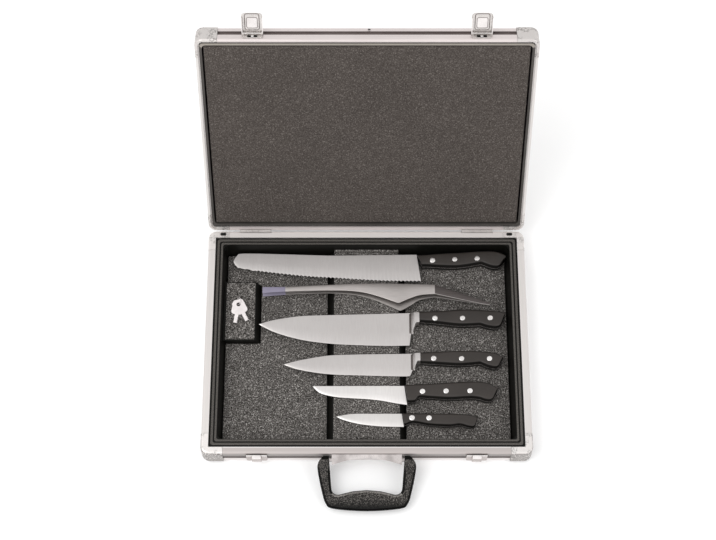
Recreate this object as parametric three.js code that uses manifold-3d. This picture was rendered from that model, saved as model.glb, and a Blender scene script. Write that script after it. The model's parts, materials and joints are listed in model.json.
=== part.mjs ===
import * as THREE from 'three';
import { mergeVertices } from 'three/addons/utils/BufferGeometryUtils.js';
import Module from 'manifold-3d';

// Hard case for a set of kitchen knives, shown with its lid open. Millimetres, +Z up.
// The origin is the centre of the underside. The front faces -Y and the hinges are at +Y.

const wasm = await Module();
wasm.setup();

// Sizes that several pieces share

const gap = 0.3; // clearance between neighbouring pieces
const overrun = 1; // how far a cutting tool passes the face that it cuts
const weldDistance = 0.0001; // corners closer than this are one corner
const arcSteps = 2; // a round corner gets twice as many facets, a spline as many per point
const rodSteps = 12;

const shell = {
  length: 428,
  width: 318,
  baseHeight: 33,
  lidHeight: 30,
  rimGap: 0.6,
  openAngle: 112,
};

// A frame rail has an upper rib at the rim, a groove and a lower rib that is set back.
// Depths are measured from the rim, widths inwards from the outer face.
const rail = {
  shoulderRadius: 3,
  upperRibDepth: 10.5,
  grooveEndDepth: 19.3,
  lowerRibSetback: 1.2,
  lowerRibRadius: 5,
  outerFaceLift: 0.6,
  panelFlangeWidth: 14,
  panelFlangeThickness: 1.5,
};

const panel = { thickness: 1.8, edgeInset: 7.8, cornerRadius: 4 };

const baseRail = {
  height: shell.baseHeight,
  rimWidth: 9.5,
  rimThickness: 3.6,
  ledgeWidth: 12.5,
  ledgeThickness: 2,
  grooveDepth: 6,
  webWidth: 8.5,
};

const lidRail = {
  height: shell.lidHeight,
  rimThickness: 2.2,
  ledgeWidth: 0,
  ledgeThickness: 0,
  grooveDepth: 3.6,
  webWidth: 5.1,
};
const lidRimWidths = { front: 4, side: 3.6, back: 7 };

const cap = { leg: 28, proud: 0.4, cornerRadius: 10, wall: 5.1, roundSteps: 16 };

const hinge = {
  fromSide: 63.3,
  length: 42,
  knuckleRadius: 2.6,
  knuckleCount: 5,
  pinRadius: 1.2,
  notchClearance: 0.4,
  leafThickness: 1.2,
  leafReach: 15,
  stopWidth: 6,
  stopReach: 7,
  stopFoot: 9,
};

const hingeX = shell.length / 2 - hinge.fromSide;

// Materials, one per finish

function finish(color, metalness, roughness) {
  return new THREE.MeshStandardMaterial({ color, metalness, roughness });
}

const finishes = {
  aluminium: () => finish('#c4bebb', 0.9, 0.35),
  castCap: () => finish('#b4afab', 0.8, 0.5),
  steel: () => finish('#cdc8c5', 1, 0.25),
  blackPlastic: () => finish('#12120f', 0, 0.45),
  handlePlastic: () => finish('#3b3835', 0, 0.55),
  foam: () => finish('#544e4b', 0, 0.95),
  felt: () => finish('#6a6664', 0, 0.95),
  rubber: () => finish('#151412', 0, 0.8),
};

// Solids from three.js geometry, and geometry from solids

function toSolid(geometry) {
  const bare = geometry.clone();
  bare.deleteAttribute('normal');
  bare.deleteAttribute('uv');
  const welded = mergeVertices(bare, weldDistance);
  const place = welded.attributes.position;
  const corners = [];
  const [a, b, c] = [new THREE.Vector3(), new THREE.Vector3(), new THREE.Vector3()];
  let volume = 0;
  for (let i = 0; i < welded.index.count; i += 3) {
    const triangle = [0, 1, 2].map((k) => welded.index.getX(i + k));
    if (new Set(triangle).size < triangle.length) continue;
    corners.push(triangle);
    [a, b, c].forEach((corner, k) => corner.fromBufferAttribute(place, triangle[k]));
    volume += a.dot(b.cross(c));
  }
  const outward = volume > 0 ? corners : corners.map(([first, second, third]) => [first, third, second]);
  return new wasm.Manifold(new wasm.Mesh({
    numProp: 3,
    vertProperties: Float32Array.from(place.array),
    triVerts: Uint32Array.from(outward.flat()),
  }));
}

function piece(name, solid, material) {
  const { numProp, vertProperties, triVerts } = solid.getMesh();
  const geometry = new THREE.BufferGeometry();
  geometry.setAttribute('position', new THREE.BufferAttribute(vertProperties, numProp));
  geometry.setIndex(new THREE.BufferAttribute(triVerts, 1));
  geometry.computeVertexNormals();
  const mesh = new THREE.Mesh(geometry, material);
  mesh.name = name;
  return mesh;
}

function join(...solids) {
  return solids.reduce((whole, solid) => whole.add(solid));
}

function cut(solid, ...tools) {
  return tools.reduce((rest, tool) => rest.subtract(tool), solid);
}

// Outlines: each point is x, y and the radius of its corner

function roundedShape(points) {
  const shape = new THREE.Shape();
  points.forEach(([x, y, radius = 0], i) => {
    if (radius === 0) {
      if (i === 0) shape.moveTo(x, y);
      else shape.lineTo(x, y);
      return;
    }
    const corner = new THREE.Vector2(x, y);
    const neighbour = (step) => points[(i + step + points.length) % points.length];
    const before = new THREE.Vector2(...neighbour(-1)).sub(corner).normalize();
    const after = new THREE.Vector2(...neighbour(1)).sub(corner).normalize();
    const halfAngle = before.angleTo(after) / 2;
    const middle = before.clone().add(after).normalize();
    middle.multiplyScalar(radius / Math.sin(halfAngle)).add(corner);
    const reach = radius / Math.tan(halfAngle);
    const angleAt = (side) => side.clone().multiplyScalar(reach).add(corner).sub(middle).angle();
    const [startAngle, endAngle] = [angleAt(before), angleAt(after)];
    const startX = middle.x + radius * Math.cos(startAngle);
    const startY = middle.y + radius * Math.sin(startAngle);
    if (i > 0) shape.lineTo(startX, startY);
    shape.absarc(middle.x, middle.y, radius, startAngle, endAngle, before.cross(after) > 0);
  });
  return shape;
}

function rectangle(left, bottom, right, top, radius = 0) {
  const corners = [[left, bottom], [right, bottom], [right, top], [left, top]];
  return roundedShape(corners.map((corner) => [...corner, radius]));
}

function ring(outer, inner) {
  outer.holes.push(inner);
  return outer;
}

// Prisms: along z the outline is in x and y, along x in y and z, along y in x and z

const [alongX, alongY, alongZ] = [[1, 0, 0], [0, 1, 0], [0, 0, 1]].map((axis) => new THREE.Vector3(...axis));
const turns = {
  x: new THREE.Matrix4().makeBasis(alongY, alongZ, alongX),
  y: new THREE.Matrix4().makeBasis(alongX, alongZ, alongY.clone().negate()),
  z: new THREE.Matrix4(),
};

const square = { width: 0, height: 0, steps: 0 };
const unmoved = new THREE.Matrix4();

function prism(shape, axis, from, to, edge = square, place = unmoved) {
  const geometry = new THREE.ExtrudeGeometry(shape, {
    depth: to - from - 2 * edge.height,
    curveSegments: edge.curveSteps ?? arcSteps,
    bevelEnabled: edge.steps > 0,
    bevelSegments: edge.steps,
    bevelThickness: edge.height,
    bevelSize: edge.width,
    bevelOffset: -edge.width,
  });
  geometry.translate(0, 0, (axis === 'y' ? -to : from) + edge.height);
  return toSolid(geometry.applyMatrix4(turns[axis]).applyMatrix4(place));
}

function inOrder(a, b) {
  return a < b ? [a, b] : [b, a];
}

function block(left, right, front, back, bottom, top) {
  const geometry = new THREE.BoxGeometry(right - left, back - front, top - bottom);
  geometry.translate((left + right) / 2, (front + back) / 2, (bottom + top) / 2);
  return toSolid(geometry);
}

// A rod along one axis through the point given by its other two coordinates
function rod(axis, radius, from, to, across, up, steps = rodSteps) {
  const geometry = new THREE.CylinderGeometry(radius, radius, to - from, steps);
  geometry.rotateX(Math.PI / 2);
  geometry.applyMatrix4(turns[axis]);
  const middle = (from + to) / 2;
  const places = { x: [middle, across, up], y: [across, middle, up], z: [across, up, middle] };
  return toSolid(geometry.translate(...places[axis]));
}

// The lower part of a block whose sides slope in to its bottom
function slopedPan(outline, bottom, top, inset) {
  const height = top - bottom;
  return prism(outline, 'z', bottom, top + height, { width: inset, height, steps: 1 });
}

// Frame rails and corner caps, outer face at y = 0, rim at z = 0, body downwards

function panelSeatDepth(kind) {
  return kind.height - panel.thickness - gap;
}

function railShape(kind, rimWidth) {
  const seat = panelSeatDepth(kind);
  const foot = kind.height - rail.outerFaceLift;
  const ledgeEnd = kind.rimThickness + kind.ledgeThickness;
  const ledge = kind.ledgeWidth > 0
    ? [[kind.ledgeWidth, kind.rimThickness], [kind.ledgeWidth, ledgeEnd], [kind.webWidth, ledgeEnd]]
    : [[kind.webWidth, kind.rimThickness]];
  const points = [
    [0, 0, rail.shoulderRadius],
    [rimWidth, 0],
    [rimWidth, kind.rimThickness],
    ...ledge,
    [kind.webWidth, seat - rail.panelFlangeThickness],
    [rail.panelFlangeWidth, seat - rail.panelFlangeThickness],
    [rail.panelFlangeWidth, seat],
    [panel.edgeInset - gap, seat],
    [panel.edgeInset - gap, foot],
    [rail.lowerRibSetback, foot, rail.lowerRibRadius],
    [rail.lowerRibSetback, rail.grooveEndDepth],
    [kind.grooveDepth, rail.grooveEndDepth],
    [kind.grooveDepth, rail.upperRibDepth],
    [0, rail.upperRibDepth],
  ];
  return roundedShape(points.map(([inward, depth, radius]) => [inward, -depth, radius]));
}

function railSolid(kind, rimWidth, span) {
  const half = span / 2 - cap.leg - gap;
  return prism(railShape(kind, rimWidth), 'x', -half, half);
}

function capPoints(kind, rimWidth) {
  const foot = kind.height - rail.outerFaceLift;
  return [
    [-cap.proud, 0, rail.shoulderRadius],
    [rimWidth, 0],
    [rimWidth, kind.rimThickness],
    [cap.wall, kind.rimThickness],
    [cap.wall, foot],
    [-cap.proud, foot, rail.lowerRibRadius],
  ];
}

// A corner piece with its outer corner at x = 0, y = 0, one leg along +X and one along +Y
function capSolid(kind, frontRim, sideRim) {
  const upright = (points) => roundedShape(points.map(([inward, depth, radius]) => [inward, -depth, radius]));
  const frontLeg = prism(upright(capPoints(kind, frontRim)), 'x', cap.cornerRadius, cap.leg);
  const sideLeg = prism(upright(capPoints(kind, sideRim)), 'y', cap.cornerRadius, cap.leg);
  const rim = Math.min(frontRim, sideRim);
  const profile = upright(capPoints(kind, rim)).getPoints(arcSteps);
  const turned = profile.map((point) => new THREE.Vector2(cap.cornerRadius - point.x, point.y));
  const corner = new THREE.LatheGeometry([...turned, turned[0].clone()], cap.roundSteps);
  corner.rotateX(Math.PI / 2);
  corner.translate(cap.cornerRadius, cap.cornerRadius, 0);
  const reach = cap.proud + overrun;
  const quarter = block(-reach, cap.cornerRadius, -reach, cap.cornerRadius, -kind.height, overrun);
  return join(toSolid(corner).intersect(quarter), frontLeg, sideLeg);
}

const quarterTurn = Math.PI / 2;
const sides = [
  { name: 'front', turns: 0 },
  { name: 'right', turns: 1 },
  { name: 'back', turns: 2 },
  { name: 'left', turns: 3 },
];
const corners = ['front_left', 'front_right', 'back_right', 'back_left'];

function sideDistance(side) {
  return (side.turns % 2 === 0 ? shell.width : shell.length) / 2;
}

function sideSpan(side) {
  return side.turns % 2 === 0 ? shell.length : shell.width;
}

function placeOnSide(mesh, side, rimHeight) {
  const angle = side.turns * quarterTurn;
  const distance = sideDistance(side);
  mesh.rotation.z = angle;
  mesh.position.set(Math.sin(angle) * distance, -Math.cos(angle) * distance, rimHeight);
  return mesh;
}

function placeAtCorner(mesh, index, rimHeight) {
  const signX = index === 0 || index === 3 ? -1 : 1;
  const signY = index < 2 ? -1 : 1;
  mesh.rotation.z = index * quarterTurn;
  mesh.position.set(signX * shell.length / 2, signY * shell.width / 2, rimHeight);
  return mesh;
}

// Notches in both back rails for the hinge knuckles, in the frame of the back rail
function hingeNotches(rimDepth) {
  const reach = hinge.length / 2 + gap;
  const radius = hinge.knuckleRadius + hinge.notchClearance;
  return [-1, 1].map((side) => {
    const middle = side * hingeX;
    return rod('x', radius, middle - reach, middle + reach, 0, rimDepth);
  });
}

// Base shell

const bumper = {
  fromSide: 19.5,
  inset: 4.6,
  length: 7.5,
  width: 3.8,
  cornerRadius: 1.6,
  height: 2.4,
  proud: 0.3,
};

// Where the bumper sits in the cap's own frame, by the cap that carries it
function bumperRectangle(corner, clearance) {
  const [halfLength, halfWidth] = [bumper.length / 2 + clearance, bumper.width / 2 + clearance];
  const alongBack = [bumper.fromSide, halfLength];
  const acrossRim = [bumper.inset, halfWidth];
  const turned = corner === 'back_right';
  const [x, reachX] = turned ? alongBack : acrossRim;
  const [y, reachY] = turned ? acrossRim : alongBack;
  return rectangle(x - reachX, y - reachY, x + reachX, y + reachY, bumper.cornerRadius);
}

function makeShell() {
  const group = new THREE.Group();
  const rimHeight = shell.baseHeight;
  sides.forEach((side) => {
    const plain = railSolid(baseRail, baseRail.rimWidth, sideSpan(side));
    const solid = side.name === 'back' ? cut(plain, ...hingeNotches(shell.rimGap / 2)) : plain;
    group.add(placeOnSide(piece(`base_rail_${side.name}`, solid, finishes.aluminium()), side, rimHeight));
  });
  corners.forEach((corner, i) => {
    const plain = capSolid(baseRail, baseRail.rimWidth, baseRail.rimWidth);
    const hasBumper = corner.startsWith('back');
    const bed = () => prism(bumperRectangle(corner, gap), 'z', -bumper.height - gap, overrun);
    const solid = hasBumper ? cut(plain, bed()) : plain;
    group.add(placeAtCorner(piece(`base_corner_${corner}`, solid, finishes.castCap()), i, rimHeight));
    if (!hasBumper) return;
    const stud = prism(bumperRectangle(corner, 0), 'z', -bumper.height, bumper.proud);
    const side = corner.replace('back_', '');
    group.add(placeAtCorner(piece(`bumper_${side}`, stud, finishes.rubber()), i, rimHeight));
  });
  const [panelX, panelY] = [shell.length / 2 - panel.edgeInset, shell.width / 2 - panel.edgeInset];
  const panelOutline = rectangle(-panelX, -panelY, panelX, panelY, panel.cornerRadius);
  const sheet = prism(panelOutline, 'z', 0, panel.thickness);
  group.add(piece('bottom_panel', sheet, finishes.aluminium()));
  return group;
}

// Tray of thin plastic with a hump across the middle and a raised box for the keys

const tray = {
  wall: 1.5,
  rimGap: 0.3,
  flangeCornerRadius: 3,
  ridgeInset: 2.4,
  ridgeWidth: 3,
  ridgeGroove: 2,
  innerRidgeWidth: 2.5,
  ridgeHeight: 1,
  mouthInset: 11,
  slopeInset: 4.5,
  cornerRadius: 7,
};

const hump = { topWidth: 90, footWidth: 104, height: 9.1, edgeRadius: 1.5, hollowInset: 2 };

const keyBox = {
  wallClearance: 3.5,
  length: 42,
  slopeWidth: 6,
  backClearance: 49,
  depth: 85,
  height: 13.9,
  edgeRadius: 1.5,
  hollowInset: 2,
};

const pads = {
  thickness: 4.3,
  humpThickness: 2.5,
  flapHeight: 8,
  keyThickness: 1.6,
  keyInset: 1.5,
  edgeGap: 0.6,
  cornerRadius: 2.5,
};

const trayBottom = panel.thickness + gap;
const trayFloor = trayBottom + tray.wall;
const trayTop = shell.baseHeight - baseRail.rimThickness + gap + tray.wall;
const mouthX = shell.length / 2 - baseRail.rimWidth - tray.mouthInset;
const mouthY = shell.width / 2 - baseRail.rimWidth - tray.mouthInset;
const humpTop = trayFloor + hump.height;
const humpPadTop = humpTop + gap + pads.humpThickness;
const floorPadTop = trayFloor + gap + pads.thickness;
const keyBoxTop = trayFloor + keyBox.height;
const keyBoxLeft = -mouthX + keyBox.wallClearance;
const keyBoxRight = keyBoxLeft + keyBox.length;
const keyBoxBack = mouthY - keyBox.backClearance;
const keyBoxFront = keyBoxBack - keyBox.depth;
const keyPadTop = keyBoxTop + gap + pads.keyThickness;

function trayFrame(inset, width, bottom, top) {
  const start = baseRail.rimWidth + tray.rimGap + inset;
  const [outerX, outerY] = [shell.length / 2 - start, shell.width / 2 - start];
  const [innerX, innerY] = [outerX - width, outerY - width];
  const outer = rectangle(-outerX, -outerY, outerX, outerY, tray.flangeCornerRadius);
  const inner = rectangle(-innerX, -innerY, innerX, innerY, tray.flangeCornerRadius);
  return prism(ring(outer, inner), 'z', bottom, top);
}

// The back wall's inner face, which slopes from the floor to the mouth
function trayWallY(level) {
  const share = (level - trayFloor) / (trayTop - trayFloor);
  return mouthY - THREE.MathUtils.lerp(tray.slopeInset, 0, share);
}

function trayPan(growth, bottom) {
  const [x, y] = [mouthX + growth, mouthY + growth];
  return slopedPan(rectangle(-x, -y, x, y, tray.cornerRadius + growth), bottom, trayTop, tray.slopeInset);
}

function makeTray() {
  const reach = mouthX + tray.wall;
  const room = block(-reach, reach, -reach, reach, trayBottom, trayTop);
  const outer = trayPan(tray.wall, trayBottom).intersect(room);
  const flangeWidth = tray.mouthInset - tray.rimGap + tray.wall;
  const flange = trayFrame(0, flangeWidth, trayTop - tray.wall, trayTop);
  const ridgeTop = trayTop + tray.ridgeHeight;
  const outerRidge = trayFrame(tray.ridgeInset, tray.ridgeWidth, trayTop - tray.wall / 2, ridgeTop);
  const innerRidgeInset = tray.ridgeInset + tray.ridgeWidth + tray.ridgeGroove;
  const innerRidge = trayFrame(innerRidgeInset, tray.innerRidgeWidth, trayTop - tray.wall / 2, ridgeTop);
  const open = cut(join(outer, flange, outerRidge, innerRidge), trayPan(0, trayFloor));

  const [footX, topX] = [hump.footWidth / 2, hump.topWidth / 2];
  const humpFoot = trayFloor - tray.wall / 2;
  const humpShape = roundedShape([
    [-footX, humpFoot],
    [footX, humpFoot],
    [topX, humpTop, hump.edgeRadius],
    [-topX, humpTop, hump.edgeRadius],
  ]);
  const humpBlock = prism(humpShape, 'y', -reach, reach).intersect(outer);
  const boxShape = roundedShape([
    [-reach, humpFoot],
    [keyBoxRight + keyBox.slopeWidth, humpFoot],
    [keyBoxRight, keyBoxTop, keyBox.edgeRadius],
    [-reach, keyBoxTop],
  ]);
  const boxBlock = prism(boxShape, 'y', keyBoxFront, keyBoxBack).intersect(outer);

  // The sheet is as thin there, so both are hollow from below
  const under = trayBottom - overrun;
  const [hollowFoot, hollowTop] = [footX - hump.hollowInset, topX - hump.hollowInset];
  const hollowY = mouthY - tray.slopeInset - tray.wall;
  const humpHollow = prism(roundedShape([
    [-hollowFoot, under],
    [hollowFoot, under],
    [hollowTop, humpTop - tray.wall],
    [-hollowTop, humpTop - tray.wall],
  ]), 'y', -hollowY, hollowY);
  const boxHollow = prism(roundedShape([
    [keyBoxLeft + keyBox.hollowInset, under],
    [keyBoxRight + keyBox.slopeWidth - keyBox.hollowInset, under],
    [keyBoxRight - keyBox.hollowInset, keyBoxTop - tray.wall],
    [keyBoxLeft + keyBox.hollowInset, keyBoxTop - tray.wall],
  ]), 'y', keyBoxFront + keyBox.hollowInset, keyBoxBack - keyBox.hollowInset);
  const solid = cut(join(open, humpBlock, boxBlock), humpHollow, boxHollow);
  return piece('storage_tray', solid, finishes.blackPlastic());
}

function makePads() {
  const group = new THREE.Group();
  const endX = mouthX - tray.slopeInset - pads.edgeGap;
  const endY = mouthY - tray.slopeInset - pads.edgeGap;
  const innerX = hump.footWidth / 2 + gap;
  const boxEdge = keyBoxRight + keyBox.slopeWidth + gap;
  const [boxFront, boxBack] = [keyBoxFront - gap, keyBoxBack + gap];
  const radius = pads.cornerRadius;
  const left = roundedShape([
    [-endX, -endY, radius],
    [-innerX, -endY],
    [-innerX, endY],
    [-endX, endY, radius],
    [-endX, boxBack],
    [boxEdge, boxBack],
    [boxEdge, boxFront],
    [-endX, boxFront],
  ]);
  const right = roundedShape([[innerX, -endY], [endX, -endY, radius], [endX, endY, radius], [innerX, endY]]);
  const padFloor = trayFloor + gap;
  group.add(piece('floor_pad_left', prism(left, 'z', padFloor, floorPadTop), finishes.felt()));
  group.add(piece('floor_pad_right', prism(right, 'z', padFloor, floorPadTop), finishes.felt()));
  // The middle pad turns up against the sloping back wall
  const humpX = hump.topWidth / 2 - hump.edgeRadius;
  const flapTop = humpTop + gap + pads.flapHeight;
  const backY = (level) => trayWallY(level) - gap;
  const middle = roundedShape([
    [-endY, humpTop + gap],
    [backY(humpTop + gap), humpTop + gap],
    [backY(flapTop), flapTop],
    [backY(flapTop) - pads.humpThickness, flapTop],
    [backY(humpPadTop) - pads.humpThickness, humpPadTop],
    [-endY, humpPadTop],
  ]);
  group.add(piece('hump_pad', prism(middle, 'x', -humpX, humpX), finishes.felt()));
  const key = rectangle(
    keyBoxLeft + pads.keyInset,
    keyBoxFront + pads.keyInset,
    keyBoxRight - pads.keyInset,
    keyBoxBack - pads.keyInset,
    radius,
  );
  group.add(piece('key_pad', prism(key, 'z', keyBoxTop + gap, keyPadTop), finishes.felt()));
  return group;
}

// Catches on the front, one below each hasp

const latch = {
  fromSide: 72,
  plateWidth: 27,
  plateHeight: 18.5,
  plateBelowRim: 4.2,
  plateThickness: 1.2,
  plateCornerRadius: 3,
  blockWidth: 12.5,
  blockHeight: 12,
  blockReach: 4.4,
  blockRadius: 1.2,
  pivotHeight: 9,
  pivotReach: 3.2,
  pinRadius: 1,
  pinBoreRadius: 1.3,
  lugRadius: 1.9,
  mountThickness: 0.8,
  mountBottom: 2.7,
  mountTop: 15,
  slotWidth: 12.5,
  slotHeight: 4.5,
  slotBottom: 9.8,
  studRadius: 1.8,
  studHeight: 0.6,
  haspWidth: 26.3,
  haspLength: 28.4,
  haspThickness: 1,
  haspDepth: 6.4,
  haspCornerRadius: 5,
  flangeThickness: 1.1,
  panelWidth: 10,
  panelStart: 11,
  panelLength: 16,
  panelHeight: 0.6,
  houseShare: 0.7,
  lockDistance: 19,
  lockHeadRadius: 4.4,
  lockStemRadius: 3.2,
  lockHeadHeight: 1.1,
  lockStemDepth: 0.6,
  keywayWidth: 1,
  keywayLength: 5,
  keywayDepth: 0.7,
};

const frontFace = -shell.width / 2;
const latchX = shell.length / 2 - latch.fromSide;
const latchSides = [{ name: 'left', sign: -1 }, { name: 'right', sign: 1 }];

function makeCatch(side) {
  const half = latch.plateWidth / 2;
  const bottom = shell.baseHeight - latch.plateBelowRim - latch.plateHeight;
  const outline = rectangle(-half, bottom, half, bottom + latch.plateHeight, latch.plateCornerRadius);
  const plateBack = frontFace - gap;
  const plateFront = plateBack - latch.plateThickness;
  const plate = prism(outline, 'y', plateFront, plateBack);
  const middle = bottom + latch.plateHeight / 2;
  const [halfBlock, halfHeight] = [latch.blockWidth / 2, latch.blockHeight / 2];
  const nose = roundedShape([
    [plateBack, middle - halfHeight],
    [plateBack, middle + halfHeight],
    [frontFace - latch.blockReach, middle + halfHeight, latch.blockRadius],
    [frontFace - latch.blockReach, middle - halfHeight, latch.blockRadius],
  ]);
  const solid = join(plate, prism(nose, 'x', -halfBlock, halfBlock));
  const mesh = piece(`catch_${side.name}`, solid, finishes.steel());
  mesh.position.x = side.sign * latchX;
  return mesh;
}

// Carrying handle on a bracket of sheet metal under a hood

const handle = {
  pivotProud: 6.2,
  pivotBelowRim: 6.5,
  droop: 16.3,
  pinRadius: 2.2,
  boreRadius: 2.5,
  pinInset: 6,
  endRadius: 5.4,
  halfWidth: 62.3,
  armWidth: 13.3,
  armBulge: 0.7,
  armSteadyReach: 14,
  neckReach: 3,
  shoulderInset: 4.6,
  shoulderRise: 25,
  heelInset: 9.5,
  heelRise: 10,
  cornerInset: 19,
  cornerRise: 3.2,
  reach: 65.2,
  gripDepth: 20.8,
  gripInnerInset: 26,
  archRise: 6,
  elbowInset: 16.6,
  elbowRise: 10,
  thickness: 15,
  fullThicknessReach: 16,
  edgeWidth: 3,
  edgeSteps: 2,
  curveSteps: 4,
};

const handleInnerX = handle.halfWidth - handle.armWidth;
const handlePinEnd = handle.halfWidth - handle.pinInset;
const pivotY = frontFace - handle.pivotProud;
const pivotZ = shell.baseHeight - handle.pivotBelowRim;

const bracket = {
  armClearance: 3.9,
  sheet: 1.3,
  plateHeight: 6.5,
  plateBelowRim: 3.5,
  hoodClearance: 0.6,
  hoodBelowRim: 0.6,
  hoodSlope: 26,
  hoodEndLength: 13.6,
  hoodMiddleLength: 5,
  hoodSteps: 6,
  earFrontReach: 10,
  earFrontBelowRim: 5.8,
  earFootReach: 5.8,
  earFootBelowRim: 18.4,
  earRadius: 1.5,
};

// The hood's front edge is an arch between two deep ends
function hoodShape(half) {
  const { hoodEndLength: ends, hoodMiddleLength: middle, hoodSteps } = bracket;
  const shape = new THREE.Shape();
  shape.moveTo(-half, 0);
  shape.lineTo(-half, -ends);
  shape.splineThru(Array.from({ length: hoodSteps }, (unused, i) => {
    const along = 2 * (i + 1) / hoodSteps - 1;
    return new THREE.Vector2(along * half, -THREE.MathUtils.lerp(middle, ends, along * along));
  }));
  shape.lineTo(half, 0);
  return shape;
}

function makeBracket() {
  const [half, sheet] = [handleInnerX - bracket.armClearance, bracket.sheet];
  const plateBack = frontFace - gap;
  const plateFront = plateBack - sheet;
  const plateTop = shell.baseHeight - bracket.plateBelowRim;
  const plate = block(-half, half, plateFront, plateBack, plateTop - bracket.plateHeight, plateTop);
  const hoodZ = shell.baseHeight - bracket.hoodBelowRim;
  const slope = new THREE.Matrix4().makeRotationX(THREE.MathUtils.degToRad(bracket.hoodSlope));
  slope.setPosition(0, frontFace - bracket.hoodClearance, hoodZ);
  const hood = prism(hoodShape(half), 'z', -sheet, 0, square, slope);
  const link = block(-half, half, plateFront, plateBack, plateTop - sheet, hoodZ - sheet / 2);
  const footZ = shell.baseHeight - bracket.earFootBelowRim;
  const ear = roundedShape([
    [plateBack, hoodZ - sheet],
    [plateBack, footZ],
    [frontFace - bracket.earFootReach, footZ, bracket.earRadius],
    [frontFace - bracket.earFrontReach, shell.baseHeight - bracket.earFrontBelowRim],
  ]);
  const ears = [-1, 1].map((side) => prism(ear, 'x', ...inOrder(side * half, side * (half - sheet))));
  const pins = [-1, 1].map((side) => (
    rod('x', handle.pinRadius, ...inOrder(side * (half - sheet), side * handlePinEnd), pivotY, pivotZ)
  ));
  return piece('handle_bracket', join(plate, hood, link, ...ears, ...pins), finishes.steel());
}

function handleShape() {
  const h = handle;
  const at = (inset, reach) => new THREE.Vector2(h.halfWidth - inset, -reach);
  const mirrored = (points) => points.map(({ x, y }) => new THREE.Vector2(-x, y)).reverse();
  const right = [
    at(h.cornerInset, h.reach - h.cornerRise),
    at(h.heelInset, h.reach - h.heelRise),
    at(h.shoulderInset, h.reach - h.shoulderRise),
    at(-h.armBulge, h.armSteadyReach),
    at(0, h.neckReach),
    at(h.armWidth / 2, -h.endRadius),
  ];
  const gripReach = h.reach - h.gripDepth;
  const [elbowX, gripX] = [h.halfWidth - h.elbowInset, h.halfWidth - h.gripInnerInset];
  const elbowY = h.elbowRise - gripReach;
  const shape = new THREE.Shape();
  shape.moveTo(-handleInnerX, h.endRadius);
  shape.lineTo(h.armWidth / 2 - h.halfWidth, h.endRadius);
  shape.splineThru([...mirrored(right).slice(1), new THREE.Vector2(0, -h.reach), ...right]);
  shape.lineTo(handleInnerX, h.endRadius);
  shape.lineTo(elbowX, elbowY);
  shape.quadraticCurveTo(elbowX, -gripReach, gripX, -gripReach);
  // The arch passes its middle half way between its ends and its control point
  shape.quadraticCurveTo(0, 2 * h.archRise - gripReach, -gripX, -gripReach);
  shape.quadraticCurveTo(-elbowX, -gripReach, -elbowX, elbowY);
  return shape;
}

function makeHandle() {
  const h = handle;
  const halfThick = h.thickness / 2;
  const edge = { width: h.edgeWidth, height: h.edgeWidth, steps: h.edgeSteps, curveSteps: h.curveSteps };
  const plan = prism(handleShape(), 'z', -halfThick, halfThick, edge);
  const past = h.reach + overrun;
  const side = roundedShape([
    [h.endRadius, -h.endRadius, h.endRadius],
    [h.endRadius, h.endRadius, h.endRadius],
    [-h.fullThicknessReach, halfThick],
    [-past, halfThick],
    [-past, -halfThick],
    [-h.fullThicknessReach, -halfThick],
  ]);
  const wide = h.halfWidth + h.armBulge + overrun;
  const bores = [-1, 1].map((direction) => {
    const ends = inOrder(direction * (handleInnerX - overrun), direction * (handlePinEnd + gap));
    return rod('x', h.boreRadius, ...ends, 0, 0);
  });
  const solid = cut(plan.intersect(prism(side, 'x', -wide, wide)), ...bores);
  const mesh = piece('handle', solid, finishes.blackPlastic());
  mesh.position.set(0, pivotY, pivotZ);
  mesh.rotation.x = THREE.MathUtils.degToRad(h.droop);
  return mesh;
}

// Hinges: knuckles round a pin, a leaf on each back wall and a lug that stops the lid

const hingeY = shell.width / 2;
const hingeZ = shell.baseHeight + shell.rimGap / 2;

function knuckleSpans(isLid) {
  const pitch = hinge.length / hinge.knuckleCount;
  return Array.from({ length: hinge.knuckleCount }, (unused, i) => i)
    .filter((i) => (i % 2 === 1) === isLid)
    .map((i) => [i * pitch - hinge.length / 2 + gap / 2, (i + 1) * pitch - hinge.length / 2 - gap / 2]);
}

function makeLeaf(isLid, solidExtras) {
  const upward = isLid ? 1 : -1;
  const [inner, outer] = [gap, gap + hinge.leafThickness];
  const clear = hinge.knuckleRadius + hinge.notchClearance;
  const [half, far] = [hinge.length / 2, upward * hinge.leafReach];
  const near = upward * clear;
  const plate = block(-half, half, inner, outer, Math.min(near, far), Math.max(near, far));
  const risers = knuckleSpans(isLid).map(([from, to]) => {
    const foot = near + upward * overrun;
    return block(from, to, inner, outer, Math.min(0, foot), Math.max(0, foot));
  });
  const knuckles = knuckleSpans(isLid).map(([from, to]) => rod('x', hinge.knuckleRadius, from, to, 0, 0));
  const bore = rod('x', hinge.pinRadius + gap, -half - overrun, half + overrun, 0, 0);
  return cut(join(plate, ...risers, ...knuckles, ...solidExtras), bore);
}

// The lug fills part of the corner between the base leaf and the open lid leaf
function stopLug() {
  const open = THREE.MathUtils.degToRad(shell.openAngle);
  const outward = new THREE.Vector2(Math.cos(open), -Math.sin(open));
  const along = new THREE.Vector2(Math.sin(open), Math.cos(open));
  const distance = 2 * gap + hinge.leafThickness;
  const tip = outward.clone().multiplyScalar(distance).addScaledVector(along, hinge.stopReach);
  const middle = gap + hinge.leafThickness / 2;
  const rootZ = (distance - outward.x * middle) / outward.y;
  const lug = roundedShape([[middle, rootZ], [tip.x, tip.y], [middle, -hinge.stopFoot]]);
  return prism(lug, 'x', -hinge.stopWidth / 2, hinge.stopWidth / 2);
}

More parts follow.
